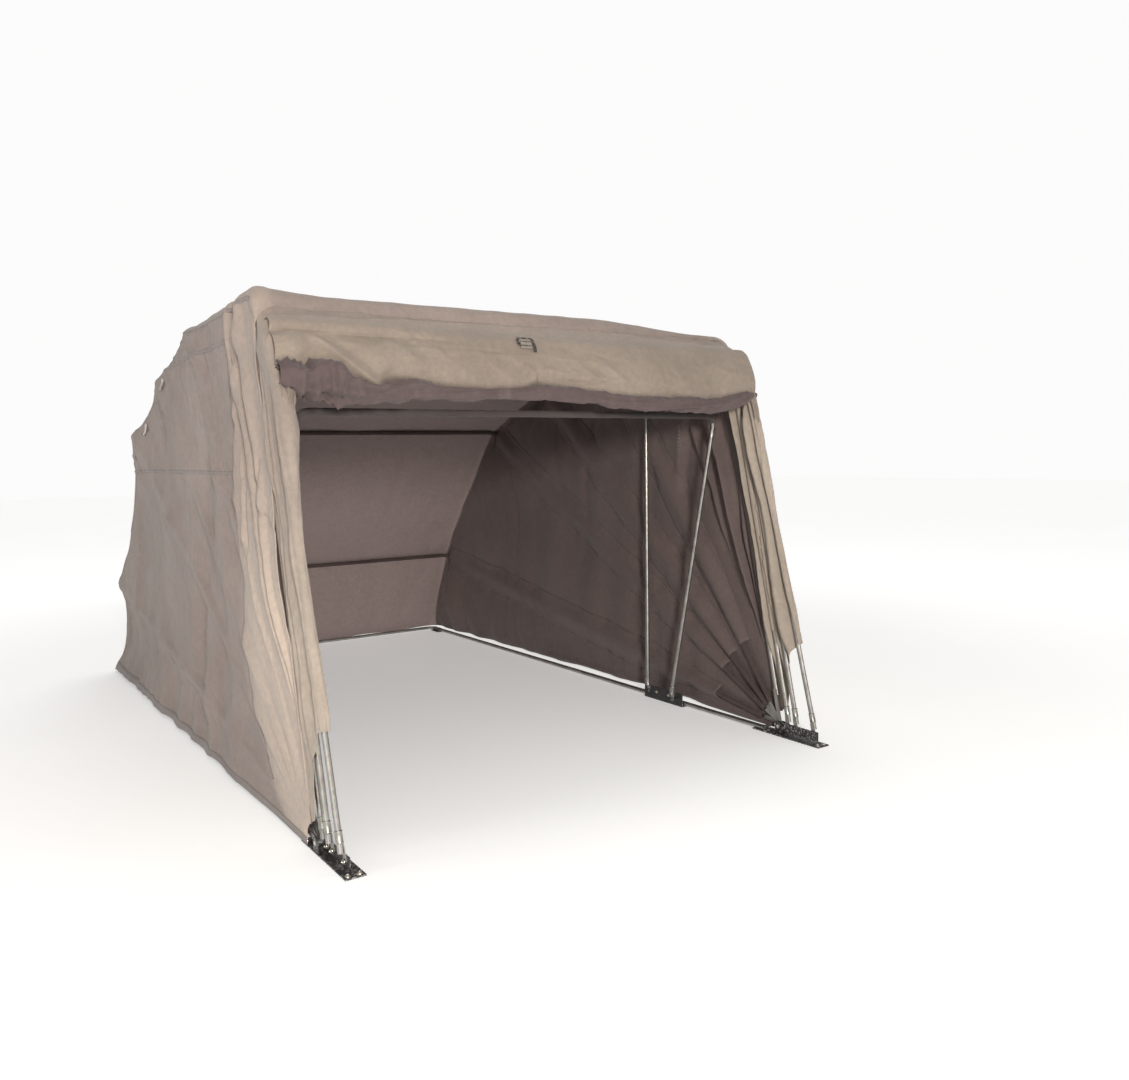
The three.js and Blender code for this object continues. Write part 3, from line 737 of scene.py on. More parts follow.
def cover_surface(p, c):
    """Points of the front cover at share p and path length c, and each point's share of the front bow."""
    p, c = np.broadcast_arrays(np.asarray(p, float), np.asarray(c, float))
    py, R, phi = cover_bar(p)
    side, ang, X, drop, top = hoop_path(c, WALL_X - ARC_X, ELBOW + CLOTH_OFF)
    r = R - drop
    Y, Z = py + r * np.cos(phi), PIVOT_Z + r * np.sin(phi)
    # pleats: the cloth falls inwards between the bows
    tau = np.zeros_like(p)
    depth = np.zeros_like(p)
    for k in range(3):
        inside = (p >= LEG_P[k]) & (p <= LEG_P[k + 1])
        t = (p - LEG_P[k]) / (LEG_P[k + 1] - LEG_P[k])
        skew = 0.12 * perlin(r / 0.5, 5.0 + k, 91 + (0 if k else 1))
        t = np.clip(t + skew * 4 * t * (1 - t), 0, 1)
        tau = np.where(inside, t, tau)
        size = PLEAT[k] * (1 + 0.45 * perlin(r / 0.7, 9.0 + k, 93))
        depth = np.where(inside, size * np.where(side < 0, 0.20, 1.0), depth)
    left = side < 0
    seed = np.where(left, 0.0, 40.0)
    valley = np.sin(math.pi * tau) ** 1.3
    spread = smooth(0.06, 0.35, top) * smooth(0.15, 0.6, r)
    wall_d = -depth * valley * spread
    calm = np.where(left, 0.45, 1.0)
    ridge = smooth(0.0, 0.08, p) * 0.018 * (1 - valley) * spread \
        * (0.6 + 0.6 * perlin(r / 0.45, p * 3 + seed, 95))
    wall_d = wall_d + ridge * calm
    broad = 0.009 * perlin(r / 0.30 + p, p * 1.3 + 3, 102) * smooth(0.0, 0.3, p) * spread * left
    wall_d = wall_d + broad + (0.006 * perlin(r / 0.22, p * 4 * calm + seed, 96)
                               + 0.003 * folds(r / 0.12, p * 7 * calm + seed, 97)) \
        * smooth(0.1, 0.4, r) * smooth(0.0, 0.10, p) - 0.0022 * smooth(0.03, 0.0, p)
    # fore-and-aft swell of the folds, so that they don't run dead straight
    sway = 0.010 * perlin(r / 0.38, p * 2 + 7 + seed, 98) * np.sin(math.pi * np.clip(p, 0, 1)) * spread
    roof_d = -0.012 * np.sin(math.pi * np.clip(p, 0, 1)) ** 2 * np.clip(1 - (X / 1.3) ** 2, 0, 1)
    lines = folds(p * 1.6 + 2, c / 0.16 + 0.6 * perlin(c / 0.4, p * 2, 99), 100, 0.8)
    roof_d = roof_d + 0.004 * lines + 0.003 * perlin(p * 3, c / 0.09, 101)
    roof_d = roof_d * (0.25 + 0.75 * np.sin(math.pi * np.clip(p, 0.001, 0.999)))
    wn, rn = np.sin(ang) ** 2, np.cos(ang) ** 2
    ear = corner_ear(ang, side) * smooth(0.8, 0.0, p)
    e = roof_d * rn + ear
    e = e + corner_peak(c) * smooth(1.0, 0.0, p) * smooth(0.12, 0.0, top) * peak_keep(rn, side)
    e = e + 0.006 * smooth(-0.03, 0.03, p - flap_line(c)) * smooth(1.0, 0.9, p) * rn
    X = X + wall_d * wn + ear
    Y = Y + e * COVER_N[0] - sway * wn
    Z = Z + e * COVER_N[1]
    # the folds lie over the legs, never inside them
    for name in ("ridge_bow", *FRONT_BOWS):
        foot, tilt = BOWS[name][0], polar(name)[1]
        off_leg = (Y - foot) * math.sin(tilt) - (Z - PIVOT_Z) * math.cos(tilt)
        need = LEG_X + np.sqrt(np.clip(LEG_CLEAR ** 2 - off_leg ** 2, 0, None))
        X = np.where((top > 0) & (np.abs(off_leg) < LEG_CLEAR), np.maximum(X, need), X)
    X = X * side
    w = np.interp(p, LEG_P, LEG_W)
    return np.stack([X, Y, Z], -1), w


def build_cover():
    rows = np.unique(np.concatenate([np.linspace(a, b, k) for a, b, k in
                                     ((0, 0.24, 15), (0.24, 0.48, 15), (0.48, 1.0, 23))]).round(5))
    cols = np.array([columns(cover_bar(p)[1] - ELBOW - CLOTH_OFF - cover_low(p), 100, 1, 93) for p in rows])
    P, W = cover_surface(np.repeat(rows[:, None], cols.shape[1], 1), cols)
    # the edge wraps the front bow and hangs loosely round its legs
    c = cols[-1]
    side, ang, cx, drop, top = hoop_path(c, ELBOW, ELBOW)
    over_bar, over_leg, round_back = 0.0176, 0.022, 0.0182      # cloth from the tube's centre
    off = over_bar * np.cos(ang) ** 2 + over_leg * np.sin(ang) ** 2
    away = np.stack([side * np.sin(ang), np.cos(ang) * COVER_N[0], np.cos(ang) * COVER_N[1]], 1)
    ahead = np.array((0.0, E_N[0], E_N[1]))
    away -= (away @ ahead)[:, None] * ahead
    away /= np.linalg.norm(away, axis=1)[:, None]
    along = (FRONT_R - drop)[:, None] * E_R
    centre = np.column_stack([side * cx, BOWS["front_bow"][0] + along[:, 0], PIVOT_Z + along[:, 1]])
    loose = np.sin(ang) ** 2 * smooth(0.0, 0.25, top)
    height = centre[:, 2]
    # how far round the leg it reaches, in degrees: most of the way near the corner, less further down
    reach_round = np.radians(np.interp(height, [0.40, 0.60, 0.76, 0.93, 1.24, 1.33, 1.42, 1.55, 1.75, 1.95],
                                       [124, 138, 160, 168, 170, 174, 184, 196, 208, 215]))
    slack = 0.006 + 0.015 * smooth(1.15, 1.5, height) + 0.006 * smooth(0.95, 0.70, height)
    full = 0.030 * bump(height, 1.61, 0.17) * (c < 0)
    wraps, turns = [], 21
    for k in range(1, turns + 1):
        t = reach_round * k / turns
        swell = 0.6 + 0.5 * perlin(top / 0.21, t * 0.8 + side * 5, 171) \
            + 0.45 * folds(top / 0.33, t * 1.7 + 0.6 * perlin(top / 0.2, side * 3, 172), 173, 0.8)
        bulge = slack * np.clip(swell, 0, 1.4) + full
        rad = off + (round_back - off) * min(1, k / 5) + loose * bulge * np.sin(np.minimum(t * 0.8, math.pi))
        wraps.append(centre + rad[:, None] * (np.cos(t)[:, None] * away + np.sin(t)[:, None] * ahead))
    last = P[-1] * 0.5 + (centre + off[:, None] * away) * 0.5
    P = np.concatenate([P[:-1], last[None], np.array(wraps)])
    W = np.concatenate([W, np.ones((len(wraps), W.shape[1]))])
    rows_p = np.concatenate([rows, np.ones(len(wraps))])[:, None]
    band = smooth(0.02, -0.02, rows_p - flap_line(c)[None, :]) * (np.abs(c) <= ARC_X + 0.5 * ARC_LEN)[None, :]
    # painted light: palest low on the left curtain and all down the right one; painted shade elsewhere
    painted_light_mask = smooth(1.5, 0.8, P[..., 2]) * (c < 0)[None, :] + (c > ARC_X + ARC_LEN)[None, :]
    shade = 0.34 - 0.34 * painted_light_mask
    o = grid_mesh("front_cover", P, mats=(COVER, COVER), tone=shade + 0.16 * band)
    blend_by(o)
    thicken(o, CLOTH, 1)
    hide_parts("front_band", "curtain_left", "curtain_right")
    return o


cover = build_cover()


# ---------------------------------------------------------------- sleeves on the bows
def hoop(name, r_from):
    """Centre line of a bow from one leg, over the crossbar, to the other leg."""
    R, phi = polar(name)
    py = BOWS[name][0]
    legs = np.arange(r_from, R - ELBOW, 0.03)
    ang = np.linspace(0, math.pi / 2, 7)
    left = [(-LEG_X, r) for r in legs]
    bend = [(-ARC_X - ELBOW * math.cos(a), R - ELBOW + ELBOW * math.sin(a)) for a in ang]
    bar = [(x, R) for x in np.linspace(-ARC_X, ARC_X, 79)[1:-1]]
    pts = left + bend + bar
    pts += [(-x, r) for x, r in reversed(left + bend)]
    pts = np.array(pts)
    return np.stack([pts[:, 0], py + pts[:, 1] * math.cos(phi), PIVOT_Z + pts[:, 1] * math.sin(phi)], 1), phi


SIDES = 14
AROUND = np.linspace(0, 2 * math.pi, SIDES, endpoint=False)[None, :]


def cover_tube(name, body, path, tilt, rad, mat):
    """A cloth sleeve round a tube's centre line; rad holds its radius at each point."""
    P = sweep(path, rad, SIDES, up=(0, -math.sin(tilt), math.cos(tilt)))
    o = grid_mesh(name, P, closed=True, mats=(mat,), flip=True)
    thicken(o, SLEEVE)
    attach(o, body)


def build_sleeve(name, body, r_from, mat, radius, slack=0.0006):
    path, phi = hoop(body, r_from)
    k = np.arange(len(path))[:, None]
    puck = perlin(k / 2.6, np.cos(AROUND) * 1.7 + np.sin(AROUND) * 0.6 + len(name), 120 + len(name))
    cover_tube(name, body, path, phi, radius + slack * puck, mat)


# the rear bows' sleeves are in the inside's painted shade
for bow in REAR_BOWS:
    build_sleeve("sleeve_" + bow, bow, 0.14, INSIDE_SHADE, 0.0145, slack=0.0003)
for bow in FRONT_BOWS[1:]:
    build_sleeve("sleeve_" + bow, bow, 0.52, COVER, 0.0150, slack=0.0004)


def build_stand_sleeve():
    py, y, z, post, pz = STAND
    R, phi = math.hypot(y - py, z - pz), math.atan2(z - pz, y - py)
    bend = post - ELBOW
    ang = np.linspace(math.pi / 2, 0.5, 4)
    end_x, end_r = bend + ELBOW * np.cos(ang), R - ELBOW + ELBOW * np.sin(ang)
    x = np.concatenate([-end_x[::-1], np.linspace(-bend, bend, 90)[1:-1], end_x])
    r = np.concatenate([end_r[::-1], np.full(88, R), end_r])
    path = np.stack([x, py + r * math.cos(phi), pz + r * math.sin(phi)], 1)
    rad = 0.0158 + 0.0008 * perlin(np.arange(len(path))[:, None] / 2.4, np.cos(AROUND) * 1.8, 181)
    cover_tube("sleeve_brace_stand", "brace_stand", path, phi, rad, DARK)


build_stand_sleeve()
build_sleeve("sleeve_ridge_bow", "ridge_bow", 0.55, DARK, 0.0152)


# ---------------------------------------------------------------- the rolled front apron
def on_front(x, down, out):
    """A point in the front bow's plane: x across, down from the crossbar, out in front of it."""
    yz = F_BAR - np.asarray(down)[..., None] * E_R + np.asarray(out)[..., None] * E_N
    return np.stack([np.broadcast_to(x, yz.shape[:-1]), yz[..., 0], yz[..., 1]], -1)


def along_bar(xs, keys):
    """A line along the bar from given (x, value) keys, rounded a little."""
    x, v = np.array(keys).T
    line = np.interp(xs, x, v)
    return np.convolve(np.pad(line, 3, mode="edge"), np.ones(7) / 7, "valid")


FLAP_END = 0.52                      # share of the apron's depth that is flap, before the roll


def build_apron():
    xs = np.linspace(-1.292, 1.292, 300)
    q = np.linspace(0, 1, 112)
    # lower edges of the flap and of the roll, as (x, distance below the bar)
    flap = along_bar(xs, [(-1.30, 0.150), (-1.26, 0.155), (-1.20, 0.180), (-1.12, 0.158), (-1.04, 0.180),
                          (-0.96, 0.203), (-0.885, 0.233), (-0.78, 0.201), (-0.60, 0.226), (-0.40, 0.234),
                          (-0.20, 0.226), (-0.09, 0.204), (0.12, 0.226), (0.36, 0.250), (0.60, 0.258),
                          (0.90, 0.256), (1.05, 0.246), (1.20, 0.218), (1.30, 0.205)])
    low = along_bar(xs, [(-1.30, 0.285), (-1.10, 0.290), (-0.80, 0.282), (-0.50, 0.276), (-0.30, 0.258),
                         (-0.10, 0.266), (0.24, 0.282), (0.48, 0.298), (0.73, 0.308), (0.95, 0.312),
                         (1.08, 0.290), (1.18, 0.264), (1.30, 0.236)])
    # sections (down, out): with a loose roll of cloth round the bar, on the left, and lying smooth
    key_q = np.array([0, 0.03, 0.06, 0.09, 0.12, 0.15, 0.18, 0.21, 0.26, 0.33, 0.41, 0.48, 0.52])
    rolled_d = [-0.054, -0.055, -0.047, -0.034, -0.017, -0.001, 0.009,
                0.020, 0.050, 0.092, 0.132, 0.166, 0.190]
    rolled_o = [-0.0175, 0.001, 0.018, 0.031, 0.0365, 0.0315, 0.0215,
                0.0265, 0.046, 0.056, 0.053, 0.042, 0.028]
    smooth_d = [-0.054, -0.043, -0.030, -0.018, -0.008, 0.002, 0.012,
                0.024, 0.052, 0.092, 0.132, 0.166, 0.190]
    smooth_o = [-0.0175, 0.001, 0.011, 0.0205, 0.0262, 0.0300, 0.0325,
                0.0355, 0.043, 0.050, 0.050, 0.041, 0.028]
    flat_q = q[q <= FLAP_END][:, None]
    rolled = smooth(-0.45, -0.85, xs)[None, :]
    down, out = (np.interp(flat_q, key_q, a) * rolled + np.interp(flat_q, key_q, b) * (1 - rolled)
                 for a, b in ((rolled_d, smooth_d), (rolled_o, smooth_o)))
    roll_q = (q[q > FLAP_END] - FLAP_END) / (1 - FLAP_END)
    ang = math.radians(112) - roll_q * math.radians(430)
    shrink = 1 - 0.47 * smooth(0.62, 1.0, roll_q)
    roll_r = np.clip((low - flap) / 1.927, 0.015, 0.060) * (1 - 0.30 * smooth(1.20, 1.29, np.abs(xs)))
    stretch = ((flap - 0.012) / 0.178)[None, :]
    flat_down = np.where(down > 0.012, 0.012 + (down - 0.012) * stretch, down)
    roll_down = (flap + 0.927 * roll_r)[None, :] - (roll_r[None, :] * (np.sin(ang) * shrink)[:, None])
    roll_out = (0.026 + 0.375 * roll_r)[None, :] + roll_r[None, :] * (np.cos(ang) * shrink)[:, None]
    D, X = np.meshgrid(q, xs, indexing="ij")
    dd = np.concatenate([flat_down, roll_down])
    oo = np.concatenate([out, roll_out])
    ns, nx = np.gradient(dd, axis=0), np.gradient(oo, axis=0)
    length = np.hypot(ns, nx)
    n_down, n_out = -nx / length, ns / length
    in_roll = smooth(0.50, 0.54, D)
    warp = 0.45 * perlin(X / 0.5, D * 2.2, 140)
    fold = folds(X / 0.42 + 0.8 * D, D * 3.6 + warp + 0.5 * perlin(X / 0.25, D * 3, 133), 134, 0.75)
    slant = folds(X / 0.19 - D * 4.5, D * 1.6 + warp, 135, 0.8)
    small = folds(X / 0.085 + D * 4, D * 8, 136, 0.9)
    amount = smooth(0.165, 0.30, D)
    disp = amount * (0.0065 * fold + 0.0045 * slant + 0.0022 * small + 0.005 * perlin(X / 0.6, D * 2, 137))
    # the flap's own folds: a swag from the left corner, hollows beside it, tucks near the lower edge
    lean = -1.15 + (dd - 0.03) * 1.39
    disp = disp + amount * (0.018 * bump(X, lean, 0.028) - 0.018 * bump(X, lean + 0.085, 0.055)
                            + 0.014 * bump(X, -0.80 - (dd - 0.03) * 0.45, 0.030)
                            - 0.010 * bump(X, -0.70 + (dd - 0.03) * 0.5, 0.045)
                            - 0.014 * bump(X, -0.09 + 0.1 * (dd - 0.18), 0.012) * smooth(0.11, 0.18, dd)
                            - 0.012 * bump(dd, 0.168 + 0.02 * np.sin(X * 11), 0.008) * bump(X, 0.15, 0.16)
                            - 0.007 * bump(dd, 0.052 + 0.03 * (X + 0.4), 0.010) * bump(X, -0.38, 0.20)
                            - 0.007 * bump(dd, 0.02 + 0.22 * (X - 0.15), 0.012) * bump(X, 0.27, 0.12))
    disp = disp + smooth(0.15, 0.24, D) * 0.024 * bump(X, -1.215, 0.050) * bump(dd, 0.075, 0.060)
    pucker = folds(X / 0.05 + dd * 9, dd / 0.03, 147, 0.8) * bump(X, -0.68, 0.09) * bump(dd, 0.0, 0.035)
    disp = disp + 0.005 * pucker * smooth(0.05, 0.10, D)
    size = np.broadcast_to(roll_r / 0.036, X.shape)
    pinch = in_roll * size * (0.0060 * folds(X / 0.13 + D * 7, D * 2.6 + warp, 138, 0.7)
                              + 0.0026 * folds(X / 0.045 - D * 7, D * 5, 146, 0.85)
                              + 0.0165 * folds(X / 0.62 + warp, D * 12 + 2.2 * X, 148, 0.70)
                              + 0.010 * perlin(X / 0.26, D * 2.2, 139))
    knot = in_roll * smooth(-0.92, -1.10, X) * 0.022 * folds(X / 0.045 + D * 3, D * 5.5 + warp, 149, 0.7)
    disp = disp * np.where(D > 0.55, 0.5, 1.0) + (pinch + knot) * np.where(D > 0.86, 0.3, 1.0)
    disp = disp * (0.4 + 0.6 * smooth(1.292, 1.22, np.abs(X)))
    dd = dd + disp * n_down
    oo = oo + disp * n_out
    oo = np.where(D < 0.16, oo, np.maximum(oo, 0.0195))
    # painted shade: the roll under the flap darkened to the front cloth's second colour
    tone = smooth(0.47, 0.54, D) * 0.95
    P = on_front(X, dd, oo)
    o = grid_mesh("front_apron_roll", P, tone=tone, mats=(FRONT, FRONT))
    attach(o, "front_bow")
    thicken(o, 0.0012)
    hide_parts("front_apron")
    return o


apron = build_apron()


def build_tail(name, side, keys, turns, seed):
    """Surplus cloth that hangs from a front corner in standing folds, drawn together where it is knotted.
    keys: rows of (down, x, out, width, depth of fold)."""
    keys = np.array(keys, float)
    t = np.linspace(0, 1, 60)
    at = np.linspace(0, 1, len(keys))
    pad = 5
    down, x0, out, width, fold = (
        np.convolve(np.pad(np.interp(t, at, key), pad, mode="edge"),
                    np.ones(2 * pad + 1) / (2 * pad + 1), "valid")
        for key in keys.T)
    u = np.linspace(0, 1, 84)[None, :]
    T = t[:, None]
    phase = 2 * math.pi * turns * u + 0.9 * perlin(T * 2.3, u * 0, seed)
    phase = phase + 1.2 * perlin(T * 1.1, u * 1.5, seed + 1)
    wave = np.sin(phase) + 0.30 * np.sin(2 * phase + 1.0)
    sharp = np.sign(wave) * np.abs(wave) ** 0.75
    crumple = folds(T * 6, u * 4 + T, seed + 2, 0.8)
    X = x0[:, None] + width[:, None] * (u - 0.5) + 0.22 * fold[:, None] * np.cos(phase)
    O = out[:, None] + fold[:, None] * (0.55 * sharp + 0.22 * crumple) - 0.012 * (2 * u - 1) ** 2
    Dn = down[:, None] + 0.020 * T * np.cos(phase) + 0.035 * T ** 3 * perlin(u * 3, T * 0, seed + 3)
    P = on_front(side * X, Dn, np.maximum(O, 0.0185))
    o = grid_mesh(name, P if side < 0 else P[:, ::-1], mats=(FRONT, FRONT), flip=True)
    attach(o, "front_bow")
    thicken(o, 0.0013)
    return o


tails = [
    build_tail("corner_tail_left", -1,
               [(0.07, 1.215, 0.026, 0.100, 0.004), (0.13, 1.225, 0.034, 0.100, 0.012),
                (0.19, 1.243, 0.050, 0.078, 0.020), (0.24, 1.256, 0.056, 0.056, 0.018),
                (0.29, 1.262, 0.055, 0.062, 0.024), (0.34, 1.266, 0.048, 0.052, 0.020),
                (0.39, 1.272, 0.040, 0.030, 0.010)], 2.1, 151),
    build_tail("corner_tail_right", 1,
               [(0.07, 1.230, 0.026, 0.090, 0.004), (0.13, 1.240, 0.034, 0.090, 0.012),
                (0.19, 1.254, 0.044, 0.060, 0.016), (0.23, 1.262, 0.044, 0.042, 0.014),
                (0.28, 1.266, 0.042, 0.046, 0.018), (0.33, 1.270, 0.036, 0.030, 0.010)], 1.8, 161),
]


def build_buckle():
    """Pull strap on the flap: a webbing loop through a dark ladder buckle, its end hanging on one side."""
    lo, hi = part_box("pull_handle")
    mid = (lo.x + hi.x) / 2

    def strip(name, mat, at, half, d0, d1, lift, wave):
        t = np.linspace(0, 1, 26)
        down = d0 + (d1 - d0) * t
        out = np.interp(down, [-0.030, -0.018, 0.002, 0.024, 0.050], [0.015, 0.0245, 0.0340, 0.0395, 0.047])
        out = out + lift + wave * np.sin(t * math.pi) ** 0.8
        rows = [on_front(np.full(26, at + w), down, out + 0.0015 * abs(w) / half)
                for w in np.linspace(-half, half, 9)]
        o = grid_mesh(name, np.array(rows), mats=(mat,))
        thicken(o, 0.0018)
        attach(o, "front_bow")
        return o

    strap = strip("pull_strap", PALE_STRAP, mid, 0.031, -0.030, 0.030, 0.002, 0.006)
    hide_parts("pull_handle")
    tongue = strip("pull_strap_end", STRAP, mid + 0.036, 0.0075, -0.004, 0.050, 0.004, 0.009)
    # a rounded frame with a centre bar
    a = np.linspace(0, 2 * math.pi, 56, endpoint=False)
    sx = 0.042 * np.sign(np.cos(a)) * np.abs(np.cos(a)) ** 0.40
    sd = 0.021 * np.sign(np.sin(a)) * np.abs(np.sin(a)) ** 0.40
    th = np.linspace(0, 2 * math.pi, 10, endpoint=False)
    loop = on_front(mid + sx, sd, 0.0425 + 0.42 * sd)
    c = loop.mean(0)
    ring = []
    for p in loop:
        r_dir = (p - c) / np.linalg.norm(p - c)
        n_dir = np.array((0, E_N[0], E_N[1]))
        ring.append(p + 0.0036 * (np.cos(th)[:, None] * r_dir + np.sin(th)[:, None] * n_dir))
    ring.append(ring[0])
    bar_x = np.linspace(-0.041, 0.041, 12)
    bar = sweep(on_front(mid + bar_x, np.full(12, 0.0), np.full(12, 0.0425)), 0.0030, 10,
                up=(0, E_N[0], E_N[1]))
    o = joined("pull_buckle", [grid_mesh("buckle_part", part, closed=True, mats=(BLACK,), flip=True)
                               for part in (np.array(ring), bar)])
    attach(o, "front_bow")
    return [strap, tongue]


straps = build_buckle()


# ---------------------------------------------------------------- seams, hem and tabs
def joined_strips(name, strips, mats, thickness, inner=0.0):
    """One piece from several grids of (points, weights); the weights are not used."""
    parts = [grid_mesh(name + "_part", P, mats=mats, flip=flip, inner=np.full(P.shape[:2], inner))
             for P, _, flip in strips]
    o = joined(name, parts)
    follow_canopy(o)
    thicken(o, thickness)
    return o


ACROSS = np.linspace(-1, 1, 5)[None, :]


def wall_strip(y, z, half, side):
    """A strip on a side wall along (y, z); half is its half-width as (dy, dz)."""
    s, c = wall_to_path(y[:, None] + half[0] * ACROSS, z[:, None] + half[1] * ACROSS, side)
    return canopy_surface(s, c, 0.0006 + 0.0016 * (1 - ACROSS ** 2))


def build_seams():
    strips = []
    for side in (-1, 1):
        for z, y1 in zip(LEVEL_SEAMS, (3.385, 2.31)):
            y0 = seam_y(z)
            y = np.linspace(y0, y1, int((y1 - y0) / 0.02))
            strips.append((*wall_strip(y, np.full_like(y, z), (0, 0.0085), side), side < 0))
        z = np.linspace(0.16, 2.07, 96)
        strips.append((*wall_strip(seam_y(z), z, (0.0085, 0), side), side > 0))
    # along both roof edges, and across the roof beside each bow
    s = np.linspace(PROFILE_S[0] + 0.01, PROFILE_S[-4], 190)[:, None]
    for side in (-1, 1):
        c = side * (ARC_X + ARC_LEN * 0.72) + 0.0075 * ACROSS
        strips.append((*canopy_surface(s, c, 0.0006 + 0.0018 * (1 - ACROSS ** 2)), False))
    x = np.linspace(-ARC_X - ARC_LEN * 0.7, ARC_X + ARC_LEN * 0.7, 120)[:, None]
    for name in RATIO:
        at = np.interp(polar(name)[1], PROFILE_PHI, PROFILE_S)
        for off in ((-0.034, 0.034) if name != "ridge_bow" else (-0.034,)):
            row = at + off + 0.004 * ACROSS
            strips.append((*canopy_surface(row, x, 0.0005 + 0.0012 * (1 - ACROSS ** 2)), True))
    return joined_strips("canopy_seams", strips, (EDGE,), 0.0007)


seams = build_seams()


def build_pockets():
    """Flat pockets on the inner face of each wall, which hold the rear bows' legs."""
    strips = []
    k = np.linspace(-1, 1, 15)
    hump = (1 - k ** 2) ** 2
    for side in (-1, 1):
        for name in REAR_BOWS:
            R, phi = polar(name)
            r = np.linspace(0.50, R - ELBOW - 0.004, int(R / 0.025))[:, None]
            turn = phi + np.minimum(0.105, 0.092 * r) * k[None, :] / r
            s, c = wall_to_path(MAIN_Y + r * np.cos(turn), PIVOT_Z + r * np.sin(turn), side)
            Q, W = canopy_surface(s, c, -0.0030)
            face = np.abs(Q[..., 0])
            Q[..., 0] = side * (face + np.minimum(POCKET_X - face, 0) * hump[None, :])
            strips.append((Q, W, side > 0))
    # the pockets are in the inside's painted shade, at the walls' level
    return joined_strips("leg_pockets", strips, (INSIDE_SHADE,), SLEEVE, inner=0.25)


pockets = build_pockets()


def build_ground_hem():
    P = CANOPY_P[0:4].copy()
    out = np.where(np.abs(P[..., 0]) > 1.24, np.sign(P[..., 0]), 0.0)
    P[..., 0] += out * 0.0022
    P[..., 1] += (1 - np.abs(out)) * 0.0026
    o = grid_mesh("ground_hem", P, mats=(EDGE,))
    follow_canopy(o)
    thicken(o, 0.0012)
    return o


hem = build_ground_hem()


def build_tabs():
    strips = []
    for side in (-1, 1):
        for y, z, dy, dz in ((2.27, 1.955, 0.045, -0.062), (2.90, 1.735, 0.035, -0.070)):
            t = np.linspace(0, 1, 14)[:, None]
            s, c = wall_to_path(y + dy * t + 0.014 * ACROSS, z + dz * t + 0.006 * ACROSS, side)
            strips.append((*canopy_surface(s, c, 0.003 + 0.013 * np.sin(t * math.pi) ** 0.7), side > 0))
    return joined_strips("tie_tabs", strips, (TAB,), 0.0014)


tabs = build_tabs()


# ---------------------------------------------------------------- small hardware
def bolts(name, body, places, radius=0.0085):
    """Hexagon heads on washers, with the stud's end showing. places: (point, outward direction)."""
    bm = bmesh.new()
    for at, out in places:
        turn = Vector(out).to_track_quat("Z", "Y").to_matrix().to_4x4()
        foot = Matrix.Translation((at[0], at[1] + SHIFT_Y, at[2])) @ turn
        for sides, r1, r2, z0, z1 in ((28, 1.35, 1.28, 0.0, 0.0016), (6, 1, 1, 0.0014, 0.0060),
                                      (6, 1, 0.80, 0.0060, 0.0072), (14, 0.45, 0.34, 0.007, 0.0105)):
            place = foot @ Matrix.Translation((0, 0, (z0 + z1) / 2))
            bmesh.ops.create_cone(bm, cap_ends=True, cap_tris=False, segments=sides, radius1=radius * r1,
                                  radius2=radius * r2, depth=z1 - z0, matrix=place)
    mesh = bpy.data.meshes.new(name)
    bm.to_mesh(mesh)
    bm.free()
    mesh.materials.append(ZINC)
    o = bpy.data.objects.new(name, mesh)
    bpy.context.scene.collection.objects.link(o)
    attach(o, body)


def collars(name, body, feet, radius=0.0148):
    """Bevelled collars round tubes. feet: (start, end) points of each."""
    parts = []
    t = np.array([0, 0.02, 0.06, 0.10, 0.14, 0.86, 0.90, 0.94, 0.98, 1.0])[:, None]
    half = [0.0128, 0.0142, 1.06 * radius, 1.06 * radius, radius]
    rad = np.array(half + half[::-1])[:, None]
    for a, b in feet:
        a, b = np.array(a, float), np.array(b, float)
        tube = sweep(a + t * (b - a), rad, 28)
        parts.append(grid_mesh(name + "_part", tube, closed=True, mats=(TUBE,), flip=True))
    o = joined(name, parts)
    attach(o, body)


def leg_point(pivot, bar, x, along):
    """A point of a leg at a distance from its pivot; pivot and bar are (y, z)."""
    d = np.array(bar) - np.array(pivot)
    y, z = np.array(pivot) + d / np.linalg.norm(d) * along
    return x, y, z


RAIL_X, RAIL_Z = 1.238, 0.0205


